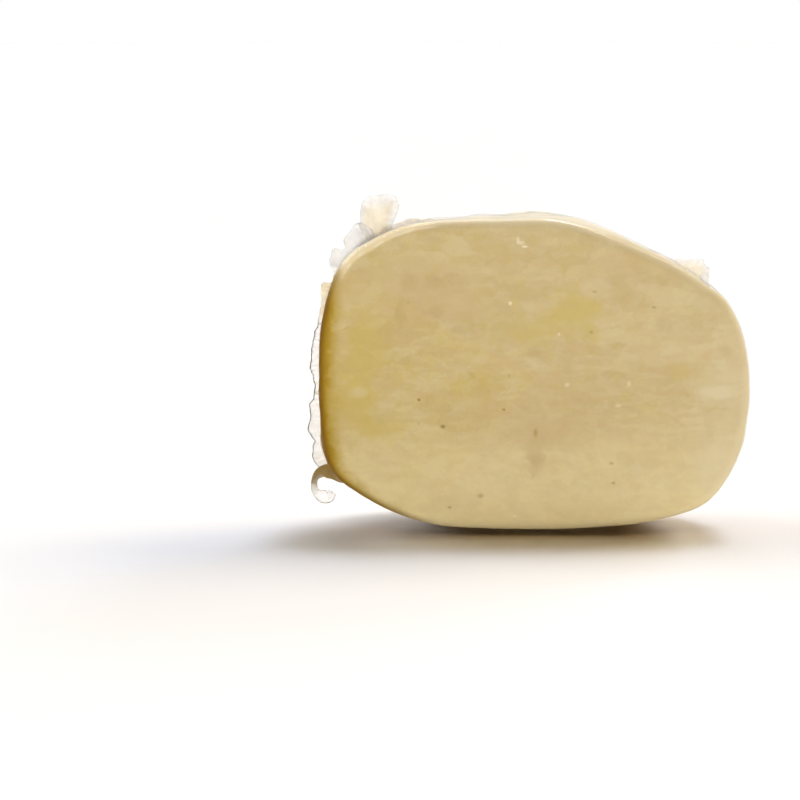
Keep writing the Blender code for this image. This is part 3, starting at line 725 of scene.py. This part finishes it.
# painted shade: the darkest amber right at the left edge
edge_shade_mask = left_rim * depth.fade(0.1, 2) * ragged_depth.fade(9, 3)
colour = layered(paste, ((depth.fade(3, 9), rind), (edge_shade_mask, RIM_DARK_SHADE)))
crumb = place.grain(0.9 * MM, 3) + 0.6 * flecks
shader = wire.node(
    "ShaderNodeBsdfPrincipled",
    {
        "Base Color": colour,
        "Roughness": 0.55,
        "Specular IOR Level": 0.1,
        "Subsurface Weight": 0.2,
        "Subsurface Radius": (1.0, 0.6, 0.25),
        "Subsurface Scale": 2.5 * MM,
        "Normal": crumb.bump(0.25, 0.3 * MM),
    },
)
shader.as_surface()
cheese.data.materials.append(finish)
print(len(finish.node_tree.nodes), "nodes in the cheese's finish")

# %% [markdown]
# ## The clinging film
# Shrink film bridges small hollows and creases where it is gathered at the seam's ends, and a little air
# stays under it low on the back. So its surface is the smooth part of the rind's relief plus creases and
# one round pocket. It is never let nearer to the cheese than a set gap, so that the two never cross.

# %% Make the film
GATHERS_MM = ((-52, 29, 93), (-62, 26, 14))
CREASES, CREASE_HEIGHT, CREASE_REACH = 11, 1.1 * MM, 17 * MM
CREASE_CLEAR, CREASE_BEND, CREASE_SHARPNESS = 5 * MM, 1.2, 3
POCKET_MM, POCKET_RADIUS, POCKET_HEIGHT = (24, 66, 62), 8 * MM, 1.5 * MM
PUCKER_SIZE, PUCKER_HEIGHT = 5.5 * MM, 0.35 * MM
BRIDGED = 0.5  # the share of each small hollow that the film follows

ridges = np.zeros(len(skin_points))
for gather in np.array(GATHERS_MM) * MM:
    offset = skin_points - gather
    away = np.linalg.norm(offset, axis=1)
    around = np.arctan2(offset[:, 2], offset[:, 1] + 0.5 * np.abs(offset[:, 0]))
    bent = around + CREASE_BEND * noise_at(skin_points, LUMP_SIZE, 7)
    fade = np.exp(-((away / CREASE_REACH) ** 2)) * np.clip(away / CREASE_CLEAR, 0, 1)
    ridges += fade * np.abs(np.cos(0.5 * CREASES * bent)) ** CREASE_SHARPNESS
off_pocket = np.linalg.norm(skin_points - np.array(POCKET_MM) * MM, axis=1) / POCKET_RADIUS
pocket = POCKET_HEIGHT * np.sqrt(np.clip(1 - off_pocket**2, 0, 1))
puckers = PUCKER_HEIGHT * (1 - np.abs(noise_at(skin_points, PUCKER_SIZE, 12)) * 4).clip(0, 1)

film_push = lumps + dents + folds + BRIDGED * (pocks + pebbles + grooves) + CREASE_HEIGHT * ridges + pocket
film_push = on_rind * pressed * (film_push + puckers * on_rind) + (1 - on_rind) * face_wave
film_push = np.maximum(film_push, cheese_push + BAG_ROOM)
film_points = skin_points + skin_normals * film_push[:, None]
film_points[:, 2] = np.maximum(film_points[:, 2], -FRONT_LIFT)
kept = {"crease": ridges.clip(0, 1), "pucker": puckers / PUCKER_HEIGHT, "on_rind": on_rind, "left_rim_shade": left_rim_shade}
film = new_piece("film_skin", film_points, skin_faces, **kept)
print("the film stands up to", round((film_push - cheese_push).max() / MM, 2), "mm off the cheese")

# %% [markdown]
# ## The finish of the film
# A clear film shows only by what it mirrors and by a faint milky haze where it is creased. So its shader
# is see-through, mixed with a thin white layer by the haze, and then with a mirror by a mask that grows
# towards grazing angles. Layer Weight gives that angle, and it treats both sides of the film alike. Along
# the cut's left side, low down and on top in front the film lies tight, and shows neither haze nor gloss.

# %% Finish the film
FILM_WHITE = srgb(246, 244, 238)
MIRROR_FACE_ON, FILM_ROUGHNESS, LIGHT_REACH = 0.03, 0.07, 0.3 * MM


def film_shader(wire, milk, colour, normal, gloss=1.0, roughness=FILM_ROUGHNESS, through=0.0):
    """Clear film under a layer of that colour: milk is the layer's share, gloss that of the mirror."""
    clear = wire.node("ShaderNodeBsdfTransparent")
    layer = wire.node(
        "ShaderNodeBsdfPrincipled",
        {
            "Base Color": colour,
            "Roughness": 0.45,
            "Specular IOR Level": 0.12,
            "Subsurface Weight": through,
            "Subsurface Radius": (1.0, 1.0, 1.0),
            "Subsurface Scale": LIGHT_REACH,
            "Normal": normal,
        },
    )
    body = wire.node("ShaderNodeMixShader", {0: milk, 1: clear, 2: layer})
    mirror = wire.node("ShaderNodeBsdfGlossy", {"Roughness": roughness, "Normal": normal})
    graze = wire.node("ShaderNodeLayerWeight", {"Blend": 0.5, "Normal": normal}, "Facing")
    share = gloss * (MIRROR_FACE_ON + (1 - MIRROR_FACE_ON) * graze**5)
    return wire.node("ShaderNodeMixShader", {0: share, 1: body, 2: mirror})


skin_finish, wire = new_finish("clear_clinging_film")
place = wire.node("ShaderNodeTexCoord", output="Object")
_, depth, upwards = in_mm(place.vector("SUBTRACT", tuple(PLACE)))
marks = (wire.on_mesh(name) for name in ("crease", "pucker", "on_rind", "left_rim_shade"))
crease, pucker, rind_part, left_rim = marks
wrinkle = place.vector("MULTIPLY", (1, 1, 0.5)).grain(3.0 * MM, 3, 0.6)
ripple = wrinkle * (0.3 + 0.7 * rind_part)
bump = ripple.bump(0.35, 0.5 * MM)
low_down = upwards.fade(28.5, 10.5) * depth.fade(0.5, 2) * depth.fade(44, 32)
on_top = upwards.fade(66.5, 78.5) * depth.fade(3, 6) * depth.fade(42, 30)
tight = wire.math("MAXIMUM", depth.fade(16, 5) * left_rim.fade(0.0, 0.3), low_down)
wet = 1 - wire.math("MAXIMUM", 0.98 * tight, 0.7 * on_top)
haze = 0.05 + 0.3 * crease.fade(0.35, 1.0) + 0.1 * pucker.fade(0.7, 1.0)
haze = 0.015 + rind_part * haze * upwards.fade(10.5, 30.5)
film_shader(wire, haze * wet, FILM_WHITE, bump, wet).as_surface()
film.data.materials.append(skin_finish)
print("film finish with", len(skin_finish.node_tree.nodes), "nodes")

# %% [markdown]
# ## The path of the seam
# The bag's two walls are welded along a line that runs up the left side, over the top and down the right,
# and the spare film beyond the weld stands off as a fin. The table gives, for directions round the cut's
# middle, how high the fin stands, how far it leans back, and at what share of the depth it sits. The path
# is a chain of points on the rind, and each point carries what Geometry Nodes will need there.

# %% Lay the path of the seam
SEAM = (  # direction in degrees, height in mm, lean in degrees, share of the depth
    (206.4, 1, 10, 0.42), (205.2, 5.2, 5, 0.42), (203.9, 8.2, 5, 0.42), (201.9, 8.7, 5, 0.42),
    (200.4, 8, 0, 0.42), (198.7, 6.6, 0, 0.42), (197.9, 7.2, 0, 0.42), (195.7, 8, 0, 0.42),
    (193, 7, 0, 0.42), (190.2, 7, 0, 0.42), (188.5, 5.4, 0, 0.42), (185.3, 4.9, 0, 0.42),
    (182.7, 5.8, 0, 0.42), (180.1, 6.5, 0, 0.42), (177, 6.2, 0, 0.42), (170.9, 5.5, 0, 0.42),
    (169, 4.4, 0, 0.42), (163.9, 4.7, 0, 0.42), (158, 6, 0, 0.42), (157.2, 3, 0, 0.42), (155, 3.2, 0, 0.42),
    (152.5, 6.6, 0, 0.42), (150, 7.4, 0, 0.42), (148.4, 4.2, 0, 0.42), (147.2, 6.7, 0, 0.42),
    (143, 7.9, 0, 0.42), (140.5, 4, 10, 0.43), (136, 3, 20, 0.44), (131, 3.2, 30, 0.46),
    (127, 2.8, 50, 0.5), (123, 3, 78, 0.54), (90, 3.4, 82, 0.56), (50, 3.4, 80, 0.54), (40, 3.2, 66, 0.48),
    (34, 2.2, 60, 0.45), (28, 2.2, 50, 0.44), (16, 3, 20, 0.44), (0, 3.9, 5, 0.45), (-16, 3.8, 5, 0.44),
    (-27, 1.6, 10, 0.42),
)
SEAM_LOOK = (  # direction in degrees, milk, cream
    (206, 0.34, 0.6), (198, 0.2, 0.4), (170, 0.18, 0.3), (165, 0.5, 1), (157, 0.55, 1), (154, 0.45, 0),
    (138, 0.45, 0), (133, 0.45, 0.8), (125, 0.55, 1), (121, 1, 1), (50, 1, 1), (42, 0.6, 0.5),
    (30, 0.45, 0.4), (10, 0.25, 0.3), (-27, 0.25, 0.4),
)
PATH_STEPS = 520
BACK = np.array((0.0, 1.0, 0.0))


def unit(vectors):
    return vectors / np.linalg.norm(vectors, axis=-1, keepdims=True)


knots = np.array(SEAM, float)
direction = np.linspace(knots[0, 0], knots[-1, 0], PATH_STEPS)
knot_place = np.interp(-direction, -knots[:, 0], np.arange(len(knots)))
share = knot_place % 1
eased = knot_place - share + share**2 * (3 - 2 * share)
stand_mm, lean, depth_share = (np.interp(eased, np.arange(len(knots)), knots[:, n]) for n in (1, 2, 3))
look = np.array(SEAM_LOOK)
milk, cream = (np.interp(-direction, -look[:, 0], look[:, n]) for n in (1, 2))
direction, lean = np.radians(direction), np.radians(lean)
seam_across, seam_up = section_point(direction, 0, depth_share)
foot = np.stack((seam_across, depth_share * DEPTH, seam_up), axis=-1)
outward = unit(np.cross(unit(np.gradient(foot, axis=0)), BACK))
stand = np.cos(lean)[:, None] * outward + np.sin(lean)[:, None] * BACK

path = bpy.data.meshes.new("seam_path")
path.from_pydata((foot + PLACE).tolist(), [(n, n + 1) for n in range(PATH_STEPS - 1)], [])
kept = {"stand": stand, "outward": outward, "height": stand_mm * MM, "upright": np.cos(lean) ** 2}
keep_on_mesh(path, {**kept, "milk": milk, "cream": cream})
print("the seam runs", round(np.linalg.norm(np.diff(foot, axis=0), axis=1).sum() / MM), "mm round the rind")

# %% [markdown]
# ## The ruffled seam, by Geometry Nodes
# The fin repeats one thing along a path: a scallop that swings to and fro. So a tree of Geometry Nodes
# makes it. A flat grid is laid along the path, each of its points samples the path's place and values, and
# sums of sines push it out and sideways, with noise so that no two ruffles match. The free edge gets a
# thin rolled bead. The tree's inputs are the sizes that a maker would want to change.

# %% Build the tree for the seam
SEAM_INPUTS = {
    "Steps": ("NodeSocketInt", 900),
    "Levels": ("NodeSocketInt", 14),
    "Sunk Share": ("NodeSocketFloat", 0.18),
    "Root": ("NodeSocketFloat", 1.8 * MM),
    "Ruffle Length": ("NodeSocketFloat", 9.0 * MM),
    "Ruffle Sway": ("NodeSocketFloat", 1.3 * MM),
    "Ruffle Drift": ("NodeSocketFloat", 3.0),
    "Scallop": ("NodeSocketFloat", 0.3 * MM),
    "Crumple": ("NodeSocketFloat", 0.5 * MM),
    "Thickness": ("NodeSocketFloat", 0.15 * MM),
    "Bead Radius": ("NodeSocketFloat", 0.2 * MM),
    "Seed": ("NodeSocketFloat", 4.0),
    "Sheet Finish": ("NodeSocketMaterial", None),
    "Bead Finish": ("NodeSocketMaterial", None),
}
BEAD_SIDES = 6
CRUMPLE_SIZE = 2.6 * MM
FREE_EDGE = 0.999
LAID_SWAY = 0.25  # the share of the sway that the fin keeps where it lies flat
SIDE_SWING, SIDE_PITCH, SIDE_START = 0.35, 5.3, 1.0  # a second swing, smaller and quicker


def joined(*parts):
    """One geometry from several."""
    join = parts[0].node("GeometryNodeJoinGeometry")
    for part in parts:
        join.tree.links.new(part.socket, join.socket.node.inputs[0])
    return join


def seam_tree():
    tree = bpy.data.node_groups.new("ruffled_seam", "GeometryNodeTree")
    tree.interface.new_socket("Geometry", in_out="INPUT", socket_type="NodeSocketGeometry")
    tree.interface.new_socket("Geometry", in_out="OUTPUT", socket_type="NodeSocketGeometry")
    for name, (kind, _) in SEAM_INPUTS.items():
        tree.interface.new_socket(name, in_out="INPUT", socket_type=kind)
    given = Wire(tree).node("NodeGroupInput")
    place = given.node("GeometryNodeInputPosition")
    line = given.node("GeometryNodeMeshToCurve", {"Mesh": given})
    cells = {"Vertices X": given.other("Steps"), "Vertices Y": given.other("Levels")}
    sheet = given.node("GeometryNodeMeshGrid", {"Size X": 1.0, "Size Y": 1.0, **cells})
    on_sheet = given.node("ShaderNodeSeparateXYZ", {0: place}, "X")
    factor, level = on_sheet + 0.5, on_sheet.other("Y") + 0.5

    def on_path(kind, name=None):
        """What the path says at this point of the sheet: one of its named values, or its place."""
        value = place
        if name:
            value = given.node("GeometryNodeInputNamedAttribute", {"Name": name}, data_type=kind)
        sockets = {"Curves": line, "Value": value, "Factor": factor}
        return given.node("GeometryNodeSampleCurve", sockets, data_type=kind, mode="FACTOR")

    way = factor * given.node("GeometryNodeCurveLength", {"Curve": line})
    ruffle = way / given.other("Ruffle Length")
    drift = {"W": 0.5 * ruffle + given.other("Seed"), "Scale": 1.0, "Detail": 1.0}
    drift = given.node("ShaderNodeTexNoise", drift, noise_dimensions="1D")
    phase = math.pi * ruffle + 2 * given.other("Ruffle Drift") * (drift - 0.5)
    fold = given.math("ABSOLUTE", given.math("SINE", phase))
    upright = on_path("FLOAT", "upright")
    edge = on_path("FLOAT", "height") + given.other("Scallop") * upright * fold
    sunk = given.other("Sunk Share")
    rise = given.math("MAXIMUM", (level - sunk) / (1 - sunk), 0.0)
    root = given.other("Root") * given.math("MAXIMUM", 1 - level / sunk, 0.0)
    swing = given.math("SINE", 2 * phase) + SIDE_SWING * given.math("SINE", SIDE_PITCH * phase + SIDE_START)
    sway = given.other("Ruffle Sway") * (LAID_SWAY + (1 - LAID_SWAY) * upright) * swing * rise

    spot = on_path("FLOAT_VECTOR").vector("ADD", on_path("FLOAT_VECTOR", "stand").scaled(rise * edge))
    spot = spot.vector("SUBTRACT", on_path("FLOAT_VECTOR", "outward").scaled(root))
    spot = spot.vector("ADD", given.node("ShaderNodeCombineXYZ", {"Y": sway}))
    crumple = {"Vector": spot, "Scale": 1 / CRUMPLE_SIZE, "Detail": 1.0}
    crumple = given.node("ShaderNodeTexNoise", crumple, "Color").vector("SUBTRACT", (0.5, 0.5, 0.5))
    spot = spot.vector("ADD", crumple.scaled(given.other("Crumple") * rise))

    milk, cream = on_path("FLOAT", "milk"), on_path("FLOAT", "cream")
    for name, value in (("level", level), ("fold", fold), ("milk", milk), ("cream", cream)):
        kept = {"Geometry": sheet, "Name": name, "Value": value}
        sheet = given.node("GeometryNodeStoreNamedAttribute", kept, data_type="FLOAT", domain="POINT")
    sheet = given.node("GeometryNodeSetPosition", {"Geometry": sheet, "Position": spot})

    kept_level = given.node("GeometryNodeInputNamedAttribute", {"Name": "level"}, data_type="FLOAT")
    at_edge = {0: kept_level, 1: FREE_EDGE}
    at_edge = given.node("FunctionNodeCompare", at_edge, data_type="FLOAT", operation="GREATER_THAN")
    rim = given.node("GeometryNodeMeshToCurve", {"Mesh": sheet, "Selection": at_edge})
    ring = {"Resolution": BEAD_SIDES, "Radius": given.other("Bead Radius")}
    ring = given.node("GeometryNodeCurvePrimitiveCircle", ring)
    bead = {"Curve": rim, "Profile Curve": ring, "Fill Caps": True}
    bead = given.node("GeometryNodeCurveToMesh", bead)

    wall = {"Mesh": sheet, "Offset Scale": given.other("Thickness"), "Individual": False}
    wall = given.node("GeometryNodeExtrudeMesh", wall, mode="FACES")
    wall = joined(wall, given.node("GeometryNodeFlipFaces", {"Mesh": sheet}))
    wall = given.node("GeometryNodeMergeByDistance", {"Geometry": wall, "Distance": 0.001 * MM})

    finished = []
    for part, coat in ((wall, "Sheet Finish"), (bead, "Bead Finish")):
        whole = given.node("GeometryNodeRealizeInstances", {"Geometry": part})
        coated = {"Geometry": whole, "Material": given.other(coat)}
        finished.append(given.node("GeometryNodeSetMaterial", coated))
    given.node("NodeGroupOutput", {"Geometry": joined(*finished)})
    return tree


ruffles = seam_tree()
print(len(ruffles.nodes), "nodes in the seam's tree")

# %% [markdown]
# ## The finish of the loose film
# Off the cheese the same film looks different: its two walls lie loosely together. Where they trap air they
# are milky, where they lie on the rind its cream shows through, and where they are clear only grey lines
# show, along folds and along the cut edge; that grey is painted shade. Values on the mesh say where: `milk`,
# `cream`, `amber` and `fold`. The windows behind it shine through its milky layer, so that layer scatters
# light inside it.

# %% Finish the loose film
FILM_PALE, FILM_CREAM, FILM_AMBER = srgb(242, 240, 242), srgb(240, 226, 198), srgb(160, 134, 66)
# painted shade: the grey of folds in clear film and of its rolled edge
FOLD_SHADE_GREY, EDGE_SHADE_GREY = srgb(140, 132, 112), srgb(96, 88, 68)
LOOSE_ROUGHNESS, LIGHT_THROUGH = 0.3, 0.8

loose_film, wire = new_finish("loose_film")
place = wire.node("ShaderNodeTexCoord", output="Object")
fold, milk, cream, amber = (wire.on_mesh(name) for name in ("fold", "milk", "cream", "amber"))
clouds = place.grain(4.5 * MM, 3, 0.55).fade(0.35, 0.7)
# painted shade: grey lines where clear film folds
line = (1 - milk) * (1 - 0.8 * cream) * fold * fold.fade(0.98, 1.0)
line = line * (0.4 + 0.6 * clouds.fade(0.3, 0.9))
colour = amber.mix(cream.mix(FILM_PALE, FILM_CREAM), FILM_AMBER)
colour = line.mix(colour, FOLD_SHADE_GREY)
cover = milk * (0.75 + 0.45 * clouds) + 0.6 * line
bump = place.grain(2.2 * MM, 2).bump(0.3, 0.4 * MM)
film_shader(wire, cover, colour, bump, 1 - 0.75 * cream, LOOSE_ROUGHNESS, LIGHT_THROUGH).as_surface()

rolled_edge, wire = new_finish("rolled_film_edge")
milk = wire.on_mesh("milk")
normal = wire.node("ShaderNodeNewGeometry", output="Normal")
film_shader(wire, milk.fade(0.45, 0.15) * 0.75, EDGE_SHADE_GREY, normal, milk.fade(0.7, 0.3)).as_surface()
print("loose film finishes:", loose_film.name, rolled_edge.name)

# %% [markdown]
# ## Grow the seam
# The modifier is given its inputs by their identifiers, then the result is read off the evaluated object
# as a plain mesh. The modifier goes, and what is left is a mesh like any other.


# %% Run the tree on the path
def as_plain_mesh(obj):
    """The object with what its modifiers make of it as its mesh, and without them."""
    bpy.context.view_layer.update()
    made = bpy.data.meshes.new_from_object(obj.evaluated_get(bpy.context.evaluated_depsgraph_get()))
    obj.modifiers.clear()
    obj.data = made
    made.name = obj.name
    made.shade_smooth()
    return obj


def grown(name, mesh, tree, values):
    """What the tree makes of the mesh."""
    obj = link(bpy.data.objects.new(name, mesh))
    modifier = obj.modifiers.new(tree.name, "NODES")
    modifier.node_group = tree
    for item in tree.interface.items_tree:
        if item.in_out == "INPUT" and item.name in values:
            modifier[item.identifier] = values[item.name]
    obj.update_tag()
    return as_plain_mesh(obj)


seam_values = {name: value for name, (_, value) in SEAM_INPUTS.items()}
seam_values.update({"Sheet Finish": loose_film, "Bead Finish": rolled_edge})
seam = grown("film_seam", path, ruffles, seam_values)
print("seam:", len(seam.data.polygons), "faces,", len(seam.data.materials), "finishes")

# %% [markdown]
# ## The two tabs
# At each upper corner the bag's own corner stands up as a limp flap. Each is a sheet between two measured
# lines, its foot on the cheese and its free edge, bowed and waved as the frame's is, and crumpled by noise.


# %% Make the tabs
LEFT_TAB_FOOT_MM = ((-57.4, 87.5), (-53.6, 89.0), (-49.6, 90.0), (-47.2, 91.5))
LEFT_TAB_EDGE_MM = (
    (-56.3, 100.6), (-55.5, 103.8), (-53.4, 105.6), (-50.2, 106), (-46.8, 106.3), (-44.6, 105.2),
    (-43.4, 102.2),
)
RIGHT_TAB_FOOT_MM = ((42.0, 78.5), (51.0, 76.0), (58.7, 70.0))
RIGHT_TAB_EDGE_MM = ((43.0, 84.9), (48.0, 84.8), (53.0, 84.7), (56.8, 84.6), (57.2, 83.2), (59.0, 81.7))
TAB_DEPTH, TAB_BOW, TAB_WAVE, TAB_CRUMPLE = 29 * MM, 1.6 * MM, 0.8 * MM, 0.7 * MM
TAB_COLUMNS, TAB_LEVELS, TAB_CRUMPLE_SIZE, LOOSE_THICKNESS = 64, 48, 5 * MM, 0.2 * MM
TAB_MILK, TAB_CREAM, TAB_RIM_START, TAB_RIM_END = 0.45, 0.8, 0.35, 0.8
TAB_KNOT_STEPS = 12


def sheet_faces(columns, levels):
    """The faces of a grid of points in rows along the columns."""
    index = np.arange(columns * levels).reshape(columns, levels)
    return np.stack((index[:-1, :-1], index[1:, :-1], index[1:, 1:], index[:-1, 1:]), -1).reshape(-1, 4)


def evenly(knots, count):
    """A spline through the knots as that many points, evenly by knot."""
    line = spline(knots, TAB_KNOT_STEPS)
    spots = np.linspace(0, len(line) - 1, count)
    return np.stack([np.interp(spots, np.arange(len(line)), line[:, n]) for n in range(line.shape[1])], -1)


def new_sheet(name, grid, looks):
    """A thin closed sheet of loose film from a grid of points, with the values that its finish reads."""
    columns, levels = grid.shape[:2]
    looks = {key: np.broadcast_to(values, (columns, levels)).ravel() for key, values in looks.items()}
    obj = new_piece(name, grid.reshape(-1, 3), sheet_faces(columns, levels), **looks)
    obj.data.materials.append(loose_film)
    wall = obj.modifiers.new("wall", "SOLIDIFY")
    wall.thickness, wall.offset = LOOSE_THICKNESS, 0
    return as_plain_mesh(obj)


def make_tab(name, foot_mm, edge_mm, seed):
    places, levels = np.linspace(0, 1, TAB_COLUMNS)[:, None], np.linspace(0, 1, TAB_LEVELS)[None, :]
    foot, edge = evenly(foot_mm, TAB_COLUMNS) * MM, evenly(edge_mm, TAB_COLUMNS) * MM
    flat = foot[:, None] + (edge - foot)[:, None] * levels[..., None]
    depth = TAB_DEPTH + TAB_BOW * np.sin(math.pi * levels) + TAB_WAVE * levels * np.cos(2 * math.pi * places)
    grid = np.stack((flat[..., 0], depth, flat[..., 1]), axis=-1)
    crumple = noise_at(grid, TAB_CRUMPLE_SIZE, seed)
    grid[..., 1] += 2 * TAB_CRUMPLE * crumple
    rim = np.maximum(np.abs(2 * places - 1), 2 * levels - 1)
    inner = np.clip((TAB_RIM_END - rim) / (TAB_RIM_END - TAB_RIM_START), 0, 1)
    looks = {"fold": 1 - 0.5 * np.abs(crumple), "milk": TAB_MILK, "cream": TAB_CREAM * inner}
    return new_sheet(name, grid, looks)


left_tab = make_tab("film_tab_left", LEFT_TAB_FOOT_MM, LEFT_TAB_EDGE_MM, 21)
right_tab = make_tab("film_tab_right", RIGHT_TAB_FOOT_MM, RIGHT_TAB_EDGE_MM, 23)
print("tabs:", [len(tab.data.polygons) for tab in (left_tab, right_tab)], "faces")

# %% [markdown]
# ## The curled end
# At the lower left the seam ends in a loose ribbon that curls out and under. It is a strip swept along a
# hook-shaped line, turned as it goes so that its flat side shows. Its foot sits in the cheese, which has
# stained it amber, and its free end is clear, with grey lines painted as shade along its edges and wrinkles.

# %% Make the curled end
CURL_MM = (  # width, height, width of the ribbon and its turn in degrees
    (-55, 13.4, 5, 5), (-62, 13.8, 5.6, 8), (-66.4, 14.9, 5, 12), (-69, 14.9, 3.8, 18),
    (-71, 13.4, 2.8, 22), (-71.7, 11, 2.3, 22), (-71.2, 8.6, 3.2, 20), (-69.2, 7.1, 4.2, 14),
    (-66.8, 7, 3.8, 14), (-65.6, 8.6, 2.6, 24),
)
WRINKLE_SIZE, WRINKLE_WIDTH, RIPPLE_SIZE = 2.4 * MM, 0.045, 4 * MM
CURL_UNEVEN, UNEVEN_SIZE = 0.25, 3 * MM  # how much the ribbon's width varies, and over what length
CURL_DEPTH, CURL_LEAN, CURL_COLUMNS, CURL_LEVELS = 24 * MM, 5 * MM, 96, 20
AMBER_END, AMBER_FADE, MILK_FADE = 0.74, 0.2, 0.4  # how far along it the curl is stained amber
CURL_MILK, STAINED_MILK = 0.14, 0.8
# painted shade: grey lines along the ribbon's edges
EDGE_START, EDGE_STRENGTH = 0.86, 1.6  # the grey lines along its edges

hook = evenly(np.array(CURL_MM) * (MM, MM, MM, math.radians(1)), CURL_COLUMNS)
going_in = CURL_DEPTH - CURL_LEAN * np.linspace(0, 1, CURL_COLUMNS)
middle = np.stack((hook[:, 0], going_in, hook[:, 1]), axis=-1)
in_plane = unit(np.cross(BACK, unit(np.gradient(middle, axis=0))))
turn = hook[:, 3:]
uneven = 1 + CURL_UNEVEN * noise_at(middle, UNEVEN_SIZE, 26)[:, None]
ribbon = hook[:, 2:3] * uneven * (np.cos(turn) * in_plane + np.sin(turn) * BACK)
shares = np.linspace(-0.5, 0.5, CURL_LEVELS)
curl_grid = middle[:, None] + ribbon[:, None] * shares[None, :, None]
curl_grid[..., 1] += TAB_CRUMPLE * noise_at(curl_grid, RIPPLE_SIZE, 25)
way = np.linspace(0, 1, CURL_COLUMNS)[:, None]
amber, stained = (np.clip((AMBER_END - way) / fade, 0, 1) for fade in (AMBER_FADE, MILK_FADE))
wrinkles = np.abs(noise_at(curl_grid, WRINKLE_SIZE, 27))
folds = np.maximum(EDGE_STRENGTH * (np.abs(2 * shares) > EDGE_START), 1.0 * (wrinkles < WRINKLE_WIDTH))
looks = {"fold": folds, "milk": CURL_MILK + STAINED_MILK * stained, "amber": amber}
curl = new_sheet("film_curl", curl_grid, looks)
print("curl:", len(curl.data.polygons), "faces")

# %% [markdown]
# ## Ride on the frame
# Nothing moves on a piece of cheese, so every piece rides on the one body. Together they stand for the
# frame's solid.

# %% Tie the pieces to the frame and finish
for piece in (cheese, film, seam, left_tab, right_tab, curl):
    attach(piece, "root")
    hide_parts(NODE)
    print(piece.name, len(piece.data.polygons), "faces")
